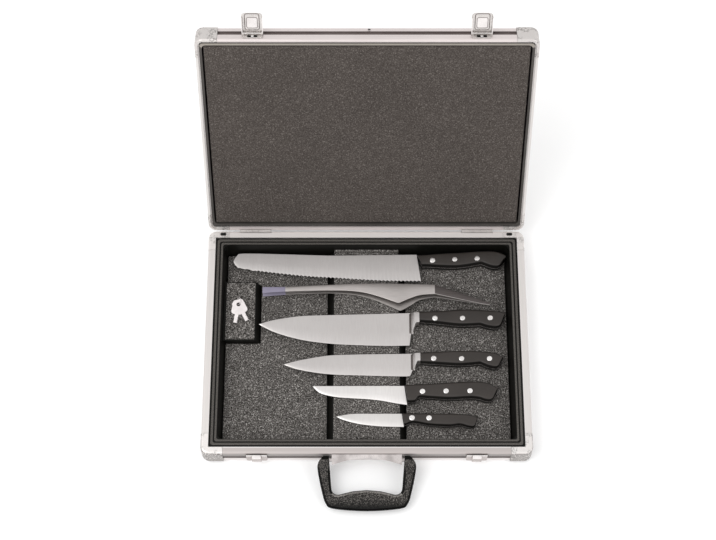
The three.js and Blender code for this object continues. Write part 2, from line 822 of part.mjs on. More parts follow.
function makeBaseHinge(side) {
  const group = new THREE.Group();
  group.position.set(side.sign * hingeX, hingeY, hingeZ);
  group.add(piece(`hinge_base_leaf_${side.name}`, makeLeaf(false, [stopLug()]), finishes.steel()));
  const pin = rod('x', hinge.pinRadius, -hinge.length / 2, hinge.length / 2, 0, 0);
  group.add(piece(`hinge_pin_${side.name}`, pin, finishes.steel()));
  return group;
}

// Lid: its own frame has the hinge axis as origin and the closed lid's directions

const lining = {
  lipWidth: 3,
  lipDepth: 1,
  lipThickness: 1.4,
  wallThickness: 1.5,
  sideInset: 5.4,
  frontInset: 6.4,
  backInset: 8.8,
  foamGap: 2.2,
  foamDepth: 2,
  cornerRadius: 5,
};

function liningRectangle(inset) {
  const x = shell.length / 2 - lining.sideInset - inset;
  const front = -shell.width / 2 + lining.frontInset + inset;
  const back = shell.width / 2 - lining.backInset - inset;
  return rectangle(-x, front, x, back, lining.cornerRadius);
}

function lidRimWidth(side) {
  return side.turns % 2 === 0 ? lidRimWidths[side.name] : lidRimWidths.side;
}

// The shell is built rim up and turned over about Y, so left and right change places
function makeLidShell() {
  const group = new THREE.Group();
  const turned = (name) => name.replace(/left|right/, (side) => (side === 'left' ? 'right' : 'left'));
  sides.forEach((side) => {
    const plain = railSolid(lidRail, lidRimWidth(side), sideSpan(side));
    const solid = side.name === 'back' ? cut(plain, ...hingeNotches(shell.rimGap / 2)) : plain;
    group.add(placeOnSide(piece(`lid_rail_${turned(side.name)}`, solid, finishes.aluminium()), side, 0));
  });
  corners.forEach((corner, i) => {
    const endRim = corner.startsWith('front') ? lidRimWidths.front : lidRimWidths.back;
    const firstLegIsEnd = i % 2 === 0;
    const rims = firstLegIsEnd ? [endRim, lidRimWidths.side] : [lidRimWidths.side, endRim];
    const mesh = piece(`lid_corner_${turned(corner)}`, capSolid(lidRail, ...rims), finishes.castCap());
    group.add(placeAtCorner(mesh, i, 0));
  });
  const [panelX, panelY] = [shell.length / 2 - panel.edgeInset, shell.width / 2 - panel.edgeInset];
  const outline = rectangle(-panelX, -panelY, panelX, panelY, panel.cornerRadius);
  const top = -shell.lidHeight + panel.thickness;
  group.add(piece('lid_panel', prism(outline, 'z', -shell.lidHeight, top), finishes.aluminium()));
  const inside = rail.panelFlangeThickness - panelSeatDepth(lidRail) + gap;
  const lip = prism(
    ring(liningRectangle(0), liningRectangle(lining.lipWidth)),
    'z',
    -lining.lipDepth - lining.lipThickness,
    -lining.lipDepth,
  );
  const wallInset = lining.lipWidth - lining.wallThickness;
  const wallOutline = ring(liningRectangle(wallInset), liningRectangle(lining.lipWidth));
  const wall = prism(wallOutline, 'z', inside, -lining.lipDepth);
  group.add(piece('lid_lining_frame', join(lip, wall), finishes.blackPlastic()));
  const foam = prism(liningRectangle(lining.lipWidth + lining.foamGap), 'z', inside, -lining.foamDepth);
  group.add(piece('lid_foam', foam, finishes.foam()));
  group.position.set(0, -shell.width / 2, shell.rimGap / 2);
  group.rotation.y = Math.PI;
  return group;
}

// Latches: a mount plate with two lugs, a pin and a pan-shaped hasp with a lock

function makeMountPlate(side) {
  const l = latch;
  const half = l.haspWidth / 2 - l.flangeThickness - gap;
  const back = -gap;
  const front = back - l.mountThickness;
  const outline = rectangle(-half, l.mountBottom, half, l.mountTop);
  const slot = rectangle(-l.slotWidth / 2, l.slotBottom, l.slotWidth / 2, l.slotBottom + l.slotHeight);
  const plate = prism(ring(outline, slot), 'y', front, back);
  const lugShape = roundedShape([
    [front, l.pivotHeight - l.lugRadius],
    [front, l.pivotHeight + l.lugRadius],
    [-l.pivotReach - l.lugRadius, l.pivotHeight + l.lugRadius, l.lugRadius],
    [-l.pivotReach - l.lugRadius, l.pivotHeight - l.lugRadius, l.lugRadius],
  ]);
  const lugs = [-1, 1].map((direction) => {
    const ends = inOrder(direction * (half - l.flangeThickness), direction * half);
    return prism(lugShape, 'x', ...ends);
  });
  const bore = rod('x', l.pinBoreRadius, -half - overrun, half + overrun, -l.pivotReach, l.pivotHeight);
  const stud = rod('y', l.studRadius, front - l.studHeight, back, 0, l.mountBottom + 2 * l.studRadius);
  return piece(`latch_mount_${side.name}`, cut(join(plate, ...lugs, stud), bore), finishes.steel());
}

// The hasp's own frame has the pin as origin and hangs down over the catch
function makeHasp(side) {
  const l = latch;
  const half = l.haspWidth / 2;
  const faceY = l.pivotReach - l.haspDepth;
  const heel = l.pivotReach - gap - l.mountThickness - gap;
  const edgeY = l.pivotReach - gap - l.plateThickness - gap;
  const face = roundedShape([
    [-half, heel],
    [-half, -l.haspLength, l.haspCornerRadius],
    [half, -l.haspLength, l.haspCornerRadius],
    [half, heel],
  ]);
  const plate = prism(face, 'y', faceY, faceY + l.haspThickness);
  const flangeShape = roundedShape([
    [faceY, heel],
    [faceY, l.haspCornerRadius - l.haspLength],
    [edgeY, l.haspCornerRadius - l.haspLength],
    [edgeY, 0],
    [heel, 0],
    [heel, heel, heel - weldDistance],
  ]);
  const flanges = [-1, 1].map((direction) => {
    const ends = inOrder(direction * half, direction * (half - l.flangeThickness));
    return prism(flangeShape, 'x', ...ends);
  });
  const [halfPanel, top] = [l.panelWidth / 2, -l.panelStart];
  const foot = top - l.panelLength;
  const peak = top - l.panelLength * l.houseShare;
  const emboss = side.name === 'left'
    ? rectangle(-halfPanel, foot, halfPanel, top)
    : roundedShape([[-halfPanel, top], [-halfPanel, peak], [0, foot], [halfPanel, peak], [halfPanel, top]]);
  const inside = faceY + l.haspThickness;
  const raised = prism(emboss, 'y', inside - l.haspThickness / 2, inside + l.panelHeight);
  const bore = rod('x', l.pinBoreRadius, -half - overrun, half + overrun, 0, 0);
  const bedEnd = faceY + l.lockStemDepth + gap;
  const lockBed = rod('y', l.lockStemRadius + gap, faceY - overrun, bedEnd, 0, -l.lockDistance);
  return piece(`hasp_${side.name}`, cut(join(plate, ...flanges, raised), bore, lockBed), finishes.steel());
}

function makeLock(side) {
  const l = latch;
  const faceY = l.pivotReach - l.haspDepth;
  const headBack = faceY - gap;
  const front = headBack - l.lockHeadHeight;
  const head = rod('y', l.lockHeadRadius, front, headBack, 0, 0);
  const stem = rod('y', l.lockStemRadius, headBack - l.lockHeadHeight / 2, faceY + l.lockStemDepth, 0, 0);
  const [halfWidth, halfLength] = [l.keywayWidth / 2, l.keywayLength / 2];
  const keywayEnd = front + l.keywayDepth;
  const keyway = block(-halfWidth, halfWidth, front - overrun, keywayEnd, -halfLength, halfLength);
  const mesh = piece(`lock_cylinder_${side.name}`, cut(join(head, stem), keyway), finishes.steel());
  mesh.position.z = -l.lockDistance;
  return mesh;
}

function makeLatch(side) {
  const group = new THREE.Group();
  group.position.set(side.sign * latchX, -shell.width, shell.rimGap / 2);
  group.add(makeMountPlate(side));
  const pinHalf = latch.haspWidth / 2;
  const pin = rod('x', latch.pinRadius, -pinHalf, pinHalf, -latch.pivotReach, latch.pivotHeight);
  group.add(piece(`hasp_pin_${side.name}`, pin, finishes.steel()));
  const swing = new THREE.Group();
  swing.position.set(0, -latch.pivotReach, latch.pivotHeight);
  swing.rotation.x = -quarterTurn;
  swing.add(makeHasp(side), makeLock(side));
  group.add(swing);
  return group;
}

function makeLid() {
  const lid = new THREE.Group();
  lid.position.set(0, hingeY, hingeZ);
  lid.rotation.x = -THREE.MathUtils.degToRad(shell.openAngle);
  lid.add(makeLidShell());
  latchSides.forEach((side) => {
    const leaf = piece(`hinge_lid_leaf_${side.name}`, makeLeaf(true, []), finishes.steel());
    leaf.position.x = side.sign * hingeX;
    lid.add(leaf, makeLatch(side));
  });
  return lid;
}

// Knives: each lies with its spine towards the hinges and its tip to the left, in a lane
// whose back and front are shares of the tray's half depth.
// Blade shares run from the heel to the tip and from the spine down to the heel.
// Handle shares run from the bolster to the butt and from the spine line to the belly.

const knifeStyle = {
  bladeThickness: 2.5,
  tangThickness: 2.5,
  tangShare: 0.9,
  tangTopShare: 0.3,
  tangBottomShare: 0.7,
  rivetRadius: 3.4,
  rivetProud: 0.2,
  handleEdgeWidth: 1.1,
  edgeLimitShare: 0.0116,
  handleEdgeHeight: 2.4,
  handleEdgeSteps: 1,
  rivetSteps: 12,
};

const bladeLevel = humpPadTop + gap;
const knifeMiddle = bladeLevel + knifeStyle.bladeThickness / 2;

const breadKnife = {
  name: 'bread_knife',
  heelFromHump: 29,
  tipClearance: 12.8,
  buttClearance: 3.9,
  handleStart: 5,
  handleDepth: 18,
  handleThickness: 17,
  handleDrop: 2.8,
  serrationPitch: 5.3,
  serrationDepth: 1,
  laneShares: [0.942, 0.653],
  spineShares: [[0.3, 0.02], [0.484, 0.03], [0.726, -0.02], [0.95, -0.05]],
  tipShares: [[0.985, 0.06], [1, 0.24], [0.985, 0.42]],
  edgeShares: [[0.942, 0.55], [0.643, 0.795], [0.452, 0.88], [0.215, 0.978], [0.02, 1]],
  topShares: [[0.2, -0.12], [0.427, -0.2], [0.791, -0.33], [0.972, -0.12], [1, 0.22]],
  beakShare: [0.885, 1.22],
  bellyShares: [[0.701, 0.633], [0.422, 0.93], [0.2, 0.92], [0.06, 0.85]],
  rivetShares: [[0.097, 0.49], [0.37, 0.41], [0.645, 0.33]],
};

const chefKnife = {
  name: 'chef_knife',
  heelFromHump: 12,
  tipClearance: 49.3,
  buttClearance: 7.5,
  handleStart: 14,
  handleDepth: 19,
  handleThickness: 17,
  bolsterWidth: 11,
  bolsterThickness: 14,
  bolsterShares: [0.65, 0.33],
  laneShares: [0.318, -0.018],
  spineShares: [[0.393, 0.048], [0.56, 0.063], [0.726, 0.093], [0.892, 0.204]],
  tipShares: [[1, 0.341]],
  edgeShares: [[0.89, 0.593], [0.724, 0.813], [0.551, 0.93], [0.386, 0.98], [0.157, 1.01], [0.01, 1]],
  topShares: [[0.243, -0.058], [0.536, -0.158], [0.827, -0.079], [0.96, 0.02], [1, 0.153]],
  beakShare: [0.917, 1.447],
  bellyShares: [[0.705, 0.942], [0.472, 0.995], [0.24, 0.842], [0.02, 0.716]],
  rivetShares: [[0.178, 0.537], [0.498, 0.537], [0.819, 0.52]],
};

const carvingKnife = {
  name: 'carving_knife',
  heelFromHump: 12,
  tipClearance: 83.3,
  buttClearance: 12.5,
  handleStart: 14.5,
  handleDepth: 16.5,
  handleThickness: 17,
  bolsterWidth: 10,
  bolsterThickness: 14,
  bolsterShares: [0.75, 0.38],
  laneShares: [-0.106, -0.335],
  spineShares: [[0.3, 0.02], [0.473, 0.038], [0.655, 0.082], [0.869, 0.284]],
  tipShares: [[1, 0.473]],
  edgeShares: [[0.868, 0.71], [0.65, 0.896], [0.394, 0.956], [0.03, 1], [0, 0.82]],
  topShares: [[0.238, -0.061], [0.481, -0.145], [0.723, -0.103], [0.905, 0.067], [1, 0.37]],
  beakShare: [0.915, 1.576],
  bellyShares: [[0.72, 0.891], [0.477, 1.018], [0.236, 0.933], [0.02, 0.848]],
  rivetShares: [[0.158, 0.56], [0.494, 0.58], [0.831, 0.58]],
};

const boningKnife = {
  name: 'boning_knife',
  heelFromHump: 8,
  tipClearance: 122.4,
  buttClearance: 20.5,
  handleStart: 0.5,
  handleDepth: 18.5,
  handleThickness: 16,
  laneShares: [-0.435, -0.623],
  spineShares: [[0.35, 0], [0.7, 0]],
  tipShares: [[1, 0]],
  edgeShares: [
    [0.921, 0.369],
    [0.776, 0.593],
    [0.656, 0.658],
    [0.372, 0.715],
    [0.29, 0.77],
    [0.09, 1],
    [0, 1],
  ],
  topShares: [[0.253, -0.076], [0.584, -0.205], [0.804, -0.232], [0.913, -0.076], [1, 0.227]],
  beakShare: [0.917, 1.395],
  bellyShares: [
    [0.799, 1.022],
    [0.689, 0.946],
    [0.47, 1.022],
    [0.251, 0.946],
    [0.125, 0.908],
    [0.085, 1.22],
    [0.03, 1.26],
  ],
  rivetShares: [[0.166, 0.54], [0.424, 0.514], [0.686, 0.503]],
};

const paringKnife = {
  name: 'paring_knife',
  heelFromHump: 3.4,
  tipClearance: 153.5,
  buttClearance: 48.6,
  handleStart: 1,
  handleDepth: 16,
  handleThickness: 13,
  laneShares: [-0.715, -0.8435],
  spineShares: [[0.4, 0], [0.764, 0.006]],
  tipShares: [[1, 0.208]],
  edgeShares: [[0.868, 0.494], [0.65, 0.775], [0.357, 0.949], [0.01, 1]],
  topShares: [[0.343, 0.044], [0.685, 0.0625], [0.891, 0.15], [1, 0.3625]],
  beakShare: [0.954, 1.356],
  bellyShares: [[0.859, 1.18], [0.75, 1.01], [0.613, 1.094], [0.34, 1.01], [0.122, 0.794], [0.02, 1]],
  rivetShares: [[0.1, 0.46], [0.333, 0.475]],
};

// A knife fills its lane from its tip's clearance on the left to its butt's on the right,
// with the heel beside the hump
function knifeSizes(knife) {
  const [backShare, frontShare] = knife.laneShares;
  const heelX = hump.topWidth / 2 + knife.heelFromHump;
  return {
    heelX,
    heelY: mouthY * backShare,
    bladeLength: heelX + mouthX - knife.tipClearance,
    bladeDepth: mouthY * (backShare - frontShare),
    handleLength: mouthX - knife.buttClearance - knife.handleStart - heelX,
  };
}

function bladeShape(knife, sizes) {
  const at = ([along, down]) => new THREE.Vector2(-along * sizes.bladeLength, -down * sizes.bladeDepth);
  const edge = new THREE.SplineCurve([knife.tipShares.at(-1), ...knife.edgeShares].map(at));
  const shape = new THREE.Shape();
  shape.moveTo(0, 0);
  shape.splineThru([...knife.spineShares, knife.tipShares[0]].map(at));
  if (knife.tipShares.length > 1) shape.splineThru(knife.tipShares.slice(1).map(at));
  if (knife.serrationPitch) {
    const count = Math.round(edge.getLength() / knife.serrationPitch);
    for (let i = 0; i < count; i += 1) {
      const valley = edge.getPointAt((i + 1 / 2) / count);
      const point = edge.getPointAt((i + 1) / count);
      shape.lineTo(valley.x, valley.y + knife.serrationDepth);
      shape.lineTo(point.x, point.y);
    }
  } else {
    shape.splineThru(knife.edgeShares.map(at));
  }
  return shape;
}

// A thick collar between blade and handle, and the blade's own steel running into it
function bolsterParts(knife, sizes, neckStart) {
  const [frontDepth, backDepth] = knife.bolsterShares.map((share) => share * sizes.bladeDepth);
  const back = knife.handleStart - gap;
  const front = back - knife.bolsterWidth;
  const middle = (front + back) / 2;
  const collar = new THREE.Shape();
  collar.moveTo(front, 0);
  collar.lineTo(back, 0);
  collar.lineTo(back, -backDepth);
  collar.quadraticCurveTo((front + middle) / 2, -backDepth, front, -frontDepth);
  const neck = new THREE.Shape();
  neck.moveTo(neckStart, 0);
  neck.lineTo(middle, 0);
  neck.lineTo(middle, -backDepth);
  neck.lineTo(front, -frontDepth);
  neck.lineTo(0, -sizes.bladeDepth);
  neck.lineTo(neckStart, -sizes.bladeDepth / 2);
  const [halfCollar, halfBlade] = [knife.bolsterThickness / 2, knifeStyle.bladeThickness / 2];
  return [prism(collar, 'z', -halfCollar, halfCollar), prism(neck, 'z', -halfBlade, halfBlade)];
}

function gripShape(knife, at) {
  const start = at([0, 0]);
  const beak = at(knife.beakShare);
  const low = at([0, knife.bellyShares.at(-1)[1]]);
  const outline = new THREE.Shape();
  outline.moveTo(start.x, start.y);
  outline.splineThru(knife.topShares.map(at));
  outline.lineTo(beak.x, beak.y);
  outline.splineThru(knife.bellyShares.map(at));
  outline.lineTo(low.x, low.y);
  return outline;
}

function makeKnife(knife) {
  const style = knifeStyle;
  const sizes = knifeSizes(knife);
  const drop = knife.handleDrop ?? 0;
  const at = ([along, down]) => new THREE.Vector2(
    knife.handleStart + along * sizes.handleLength,
    -drop - down * knife.handleDepth,
  );
  const halfBlade = style.bladeThickness / 2;
  const blade = prism(bladeShape(knife, sizes), 'z', -halfBlade, halfBlade);
  const tangStart = -sizes.bladeDepth * style.tangTopShare;
  const tangEnd = at([style.tangShare, 0]).x;
  const tangTop = at([0, style.tangTopShare]).y;
  const tangBottom = at([0, style.tangBottomShare]).y;
  const halfTang = style.tangThickness / 2;
  const tang = block(tangStart, tangEnd, tangBottom, tangTop, -halfTang, halfTang);
  const halfThick = knife.handleThickness / 2;
  const rivet = (radius, reach) => ([x, y]) => rod('z', radius, -reach, reach, x, y, style.rivetSteps);
  const spots = knife.rivetShares.map((share) => at(share).toArray());
  const rivets = spots.map(rivet(style.rivetRadius, halfThick + style.rivetProud));
  const bolster = knife.bolsterWidth ? bolsterParts(knife, sizes, tangStart) : [];
  // A wider edge than this would fold over itself at the beak of a short handle
  const width = Math.min(style.handleEdgeWidth, style.edgeLimitShare * sizes.handleLength);
  const edge = { width, height: style.handleEdgeHeight, steps: style.handleEdgeSteps };
  const grip = prism(gripShape(knife, at), 'z', -halfThick, halfThick, edge);
  const slotHalf = halfTang + gap;
  const slot = block(tangStart, tangEnd + gap, tangBottom - gap, tangTop + gap, -slotHalf, slotHalf);
  const holes = spots.map(rivet(style.rivetRadius + gap, halfThick + overrun));
  const group = new THREE.Group();
  group.add(piece(`${knife.name}_blade`, join(blade, tang, ...bolster, ...rivets), finishes.steel()));
  group.add(piece(`${knife.name}_handle`, cut(grip, slot, ...holes), finishes.handlePlastic()));
  group.position.set(sizes.heelX, sizes.heelY, knifeMiddle);
  return group;
}

// Long kitchen tweezers: two flat arms, one above the other, that meet at the tail

const tweezers = {
  thickness: 1.6,
  tipClearance: 53.9,
  tailClearance: 27.5,
  tailLength: 12,
  wingRadius: 4,
  jawGap: 8.65,
  tailGap: 0.35,
  tipShares: [0.583, 0.533],
  wingShares: [[0.385, 0.563], [0.6044, 0.357], [0.718, 0.5155]],
  wristShares: [[0.7644, 0.562], [0.7644, 0.612]],
  backShare: [0.5386, 0.635],
  tailShares: [0.397, 0.43],
};

const tweezerTip = -mouthX + tweezers.tipClearance;
const tweezerTail = mouthX - tweezers.tailClearance;
const tweezerFold = THREE.MathUtils.lerp(tweezerTip, tweezerTail, tweezers.wristShares[0][0]);

// Shares run from the tip to the tail and from the tray's middle to its back
function tweezerOutline() {
  const t = tweezers;
  const at = ([along, across]) => [THREE.MathUtils.lerp(tweezerTip, tweezerTail, along), mouthY * across];
  const [wingStart, wingPeak, wingEnd] = t.wingShares.map(at);
  const [tipTop, tipBottom] = t.tipShares.map((share) => [tweezerTip, mouthY * share]);
  const [wristBottom, wristTop] = t.wristShares.map(at);
  const [tailBottom, tailTop] = t.tailShares.map((share) => mouthY * share);
  return roundedShape([
    tipTop,
    tipBottom,
    wingStart,
    [...wingPeak, t.wingRadius],
    wingEnd,
    wristBottom,
    [tweezerTail, tailBottom],
    [tweezerTail, tailTop],
    wristTop,
    at(t.backShare),
  ]);
}

function makeTweezers() {
  const t = tweezers;
  const group = new THREE.Group();
  const lowerTop = bladeLevel + t.thickness;
  const lower = prism(tweezerOutline(), 'z', bladeLevel, lowerTop);
  group.add(piece('tweezers_lower_arm', lower, finishes.steel()));
  const tailUnder = lowerTop + t.tailGap;
  const jawUnder = lowerTop + t.jawGap;
  const tailStart = tweezerTail - t.tailLength;
  const [left, right] = [tweezerTip - overrun, tweezerTail + overrun];
  const strip = roundedShape([
    [left, jawUnder],
    [tweezerFold, jawUnder],
    [tailStart, tailUnder],
    [right, tailUnder],
    [right, tailUnder + t.thickness],
    [tailStart, tailUnder + t.thickness],
    [tweezerFold, jawUnder + t.thickness],
    [left, jawUnder + t.thickness],
  ]);
  const column = prism(tweezerOutline(), 'z', bladeLevel, jawUnder + 2 * t.thickness);
  const side = prism(strip, 'y', 0, mouthY);
  group.add(piece('tweezers_upper_arm', column.intersect(side), finishes.steel()));
  return group;
}

// Two flat keys, one on the other, on a split ring that leans through their heads

const keys = {
  holeFromLeft: 18.5,
  holeFromFront: 49.4,
  thickness: 1.2,
  headRadius: 8,
  headLength: 20,
  holeFromTop: 6.2,
  holeRadius: 2.8,
  shaftWidth: 5,
  shaftLength: 25.6,
  notchWidth: 1.2,
  notchDepth: 0.9,
  notchShares: [0.72, 0.84, 0.94],
  tilt: 4.5,
  lowerTurn: -9,
  upperTurn: 28,
  ringRadius: 4.8,
  wireRadius: 0.45,
  ringLean: 50,
  ringSteps: 20,
  wireSteps: 6,
};

function keySolid() {
  const k = keys;
  const top = k.holeFromTop;
  const shaft = k.shaftWidth / 2;
  const outline = roundedShape([
    [-k.headRadius, top, k.headRadius / 2],
    [-k.headRadius, top - k.headLength, k.headRadius / 2],
    [-shaft, top - k.headLength],
    [-shaft, -k.shaftLength],
    [shaft, -k.shaftLength],
    [shaft, top - k.headLength],
    [k.headRadius, top - k.headLength, k.headRadius / 2],
    [k.headRadius, top, k.headRadius / 2],
  ]);
  const plate = prism(outline, 'z', 0, k.thickness);
  const hole = rod('z', k.holeRadius, -overrun, k.thickness + overrun, 0, 0);
  const notches = k.notchShares.map((share) => {
    const middle = -k.shaftLength * share;
    const [front, back] = [middle - k.notchWidth / 2, middle + k.notchWidth / 2];
    return block(shaft - k.notchDepth, shaft + overrun, front, back, -overrun, k.thickness + overrun);
  });
  return cut(plate, hole, ...notches);
}

function makeKeys() {
  const k = keys;
  const group = new THREE.Group();
  const lean = THREE.MathUtils.degToRad(k.ringLean);
  const ringDrop = k.ringRadius * Math.sin(lean) + k.wireRadius;
  group.position.set(keyBoxLeft + k.holeFromLeft, keyBoxFront + k.holeFromFront, keyPadTop + gap + ringDrop);
  const pair = new THREE.Group();
  pair.rotation.x = THREE.MathUtils.degToRad(k.tilt);
  const lower = piece('key_lower', keySolid(), finishes.steel());
  lower.position.z = -gap / 2 - k.thickness;
  lower.rotation.z = THREE.MathUtils.degToRad(k.lowerTurn);
  const upper = piece('key_upper', keySolid(), finishes.steel());
  upper.position.z = gap / 2;
  upper.rotation.z = THREE.MathUtils.degToRad(k.upperTurn);
  pair.add(lower, upper);
  const wire = new THREE.TorusGeometry(k.ringRadius, k.wireRadius, k.wireSteps, k.ringSteps);
  const loop = piece('key_ring', toSolid(wire), finishes.steel());
  loop.position.y = k.ringRadius;
  loop.rotation.y = -lean;
  group.add(pair, loop);
  return group;
}

// The whole case with its contents

const knifeCase = new THREE.Group();
knifeCase.add(makeShell(), makeTray(), makePads(), makeBracket(), makeHandle());
latchSides.forEach((side) => knifeCase.add(makeCatch(side), makeBaseHinge(side)));
knifeCase.add(makeLid(), makeTweezers(), makeKeys());
const knives = [breadKnife, chefKnife, carvingKnife, boningKnife, paringKnife];
knives.forEach((knife) => knifeCase.add(makeKnife(knife)));

export default knifeCase;
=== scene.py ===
import json
import math
from fnmatch import fnmatch

import bmesh
import bpy
from mathutils import Matrix, Vector, noise


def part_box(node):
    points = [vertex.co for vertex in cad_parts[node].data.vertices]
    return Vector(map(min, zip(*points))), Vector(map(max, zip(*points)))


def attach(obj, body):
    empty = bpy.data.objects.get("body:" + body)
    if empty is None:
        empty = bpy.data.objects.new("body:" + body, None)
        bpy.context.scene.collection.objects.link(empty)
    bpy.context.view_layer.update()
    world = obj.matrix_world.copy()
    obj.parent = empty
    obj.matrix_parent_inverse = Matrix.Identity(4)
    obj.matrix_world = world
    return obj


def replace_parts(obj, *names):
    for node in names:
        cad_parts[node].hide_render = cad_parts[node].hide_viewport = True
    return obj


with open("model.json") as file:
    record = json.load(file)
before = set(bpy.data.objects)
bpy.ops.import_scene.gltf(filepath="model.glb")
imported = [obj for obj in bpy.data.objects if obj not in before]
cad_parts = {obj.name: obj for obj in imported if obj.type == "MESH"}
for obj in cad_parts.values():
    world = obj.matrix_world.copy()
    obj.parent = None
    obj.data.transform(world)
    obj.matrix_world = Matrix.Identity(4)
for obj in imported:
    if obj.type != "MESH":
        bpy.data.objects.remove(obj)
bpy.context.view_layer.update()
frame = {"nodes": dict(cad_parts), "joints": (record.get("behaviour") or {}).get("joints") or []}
nodes = frame["nodes"]
mm = 0.001
print("frame loaded", len(nodes), "nodes")

# The lid's hinge, and the turns between its closed and its open place
lidHinge = next(joint for joint in frame["joints"] if joint["name"] == "lid_hinge")
openAngle = math.radians(lidHinge["range_deg"][0])
hingePoint = Vector(lidHinge["pos_m"])


def lidTurn(angle):
    return Matrix.Translation(hingePoint) @ Matrix.Rotation(angle, 4, "X") @ Matrix.Translation(-hingePoint)


lidOpening, lidClosing = lidTurn(openAngle), lidTurn(-openAngle)


# Colours are written as they look on a screen
def colour(text):
    channels = [int(text[i:i + 2], 16) / 255 for i in (1, 3, 5)]
    linear = [c / 12.92 if c <= 0.04045 else ((c + 0.055) / 1.055) ** 2.4 for c in channels]
    return (*linear, 1)


# Node helpers. A socket is linked to a value that comes from a node, or else set to it
def feed(socket, value):
    if isinstance(value, bpy.types.NodeSocket):
        socket.id_data.links.new(value, socket)
    else:
        socket.default_value = value


def feedAll(node, values):
    for name, value in values.items():
        feed(node.inputs[name], value)


def addNode(tree, kind, values):
    node = tree.nodes.new(kind)
    feedAll(node, values)
    return node


def startMaterial(name, values):
    material = bpy.data.materials.new(name)
    material.use_nodes = True
    feedAll(material.node_tree.nodes["Principled BSDF"], values)
    return material, material.node_tree


def finishMaterial(material, base, rough, height, strength, depth):
    tree = material.node_tree
    bump = addNode(tree, "ShaderNodeBump", {"Strength": strength, "Distance": depth, "Height": height})
    values = {"Base Color": base, "Roughness": rough, "Normal": bump.outputs["Normal"]}
    feedAll(tree.nodes["Principled BSDF"], values)
    return material


def objectCoordinates(tree, scale=(1, 1, 1), turn=(0, 0, 0)):
    source = addNode(tree, "ShaderNodeTexCoord", {}).outputs["Object"]
    turned = addNode(tree, "ShaderNodeMapping", {"Vector": source, "Rotation": turn}).outputs["Vector"]
    return addNode(tree, "ShaderNodeMapping", {"Vector": turned, "Scale": scale}).outputs["Vector"]


def noiseValue(tree, vector, scale, detail=4, roughness=0.6):
    values = {"Vector": vector, "Scale": scale, "Detail": detail, "Roughness": roughness}
    return addNode(tree, "ShaderNodeTexNoise", values).outputs["Fac"]


def cellValue(tree, vector, scale, output="Distance"):
    return addNode(tree, "ShaderNodeTexVoronoi", {"Vector": vector, "Scale": scale}).outputs[output]


def ramp(tree, value, stops):
    node = addNode(tree, "ShaderNodeValToRGB", {"Fac": value})
    elements = node.color_ramp.elements
    while len(elements) < len(stops):
        elements.new(0.5)
    for element, (position, shade) in zip(elements, stops):
        element.position = position
        element.color = colour(shade) if isinstance(shade, str) else (shade, shade, shade, 1)
    return node.outputs["Color"]


def mixColour(tree, factor, first, second, mode="MIX"):
    node = addNode(tree, "ShaderNodeMix", {})
    node.data_type = "RGBA"
    node.blend_type = mode
    for index, value in ((0, factor), (6, first), (7, second)):
        feed(node.inputs[index], value)
    return node.outputs[2]


def multiplied(tree, first, second):
    return mixColour(tree, 1.0, first, second, "MULTIPLY")


def axisValue(tree, vector, axis):
    return addNode(tree, "ShaderNodeSeparateXYZ", {"Vector": vector}).outputs[axis]


# Runs from 0 at the first value to 1 at the second
def between(tree, value, start, end):
    values = {"Value": value, "From Min": start, "From Max": end}
    return addNode(tree, "ShaderNodeMapRange", values).outputs["Result"]


def stretched(axis, share, others=1.0):
    return [share if letter == axis else others for letter in "xyz"]


# Satin aluminium with fine lines along the extrusion
aluminiumLook = {
    "roughness": 0.36, "lineScale": 2600, "lineStretch": 0.004, "patchScale": 9, "lineBump": 0.12,
    "lineDepth": 0.1 * mm, "lineRoughness": [(0.2, 0.3), (0.8, 0.44)],
}


def railLines(tree, along, turn=0.0):
    space = objectCoordinates(tree, stretched(along, aluminiumLook["lineStretch"]), (turn, 0, 0))
    return noiseValue(tree, space, aluminiumLook["lineScale"], 2)


def finishRail(material, lines, base):
    rough = ramp(material.node_tree, lines, aluminiumLook["lineRoughness"])
    return finishMaterial(material, base, rough, lines, aluminiumLook["lineBump"], aluminiumLook["lineDepth"])


def aluminium(name, along, turn=0.0, shades=("#cdc8c5", "#dedad7")):
    material, tree = startMaterial(name, {"Metallic": 0.5, "Roughness": aluminiumLook["roughness"]})
    lines = railLines(tree, along, turn)
    patches = noiseValue(tree, objectCoordinates(tree), aluminiumLook["patchScale"], 3)
    lineShade = ramp(tree, lines, [(0.3, shades[0]), (0.7, shades[1])])
    patchShade = ramp(tree, patches, [(0.35, 0.93), (0.65, 1.0)])
    return finishRail(material, lines, multiplied(tree, lineShade, patchShade))


# Base rails: a rolled rim with a pale painted highlight along its inner edge, above a wall with painted shade that
# is duller under the rim than at its foot, where it pales as a painted reflection of the floor
baseRailLook = {
    "height": 33 * mm, "rolledTo": {"x": 151 * mm, "y": 206 * mm}, "rolledWidth": 1.6 * mm,
    "wall": [(0.0, "#f2ecea"), (0.3, "#e2dcda"), (0.42, "#b9b2af"), (0.7, "#8d8784"), (0.88, "#7c7673")],
}


def baseRailMetal(name, along, rim, rolledEdgeHighlight="#f8f6f5"):
    material, tree = startMaterial(name, {"Metallic": 0.45, "Roughness": aluminiumLook["roughness"]})
    lines = railLines(tree, along)
    point = objectCoordinates(tree)
    # Painted shade and reflection up the wall, topped by each rail's own painted rim tone
    rise = between(tree, axisValue(tree, point, "Z"), 0, baseRailLook["height"])
    shadedWallTone = ramp(tree, rise, baseRailLook["wall"] + [(0.97, rim)])
    side = axisValue(tree, point, "Y" if along == "x" else "X")
    across = addNode(tree, "ShaderNodeMath", {"Value": side})
    across.operation = "ABSOLUTE"
    end = baseRailLook["rolledTo"][along]
    # Painted highlight along the rim's rolled inner edge
    highlightMask = between(tree, across.outputs[0], end, end - baseRailLook["rolledWidth"])
    highlightedRimTone = mixColour(tree, highlightMask, shadedWallTone, colour(rolledEdgeHighlight))
    shade = ramp(tree, lines, [(0.3, 0.95), (0.7, 1.0)])
    return finishRail(material, lines, multiplied(tree, highlightedRimTone, shade))


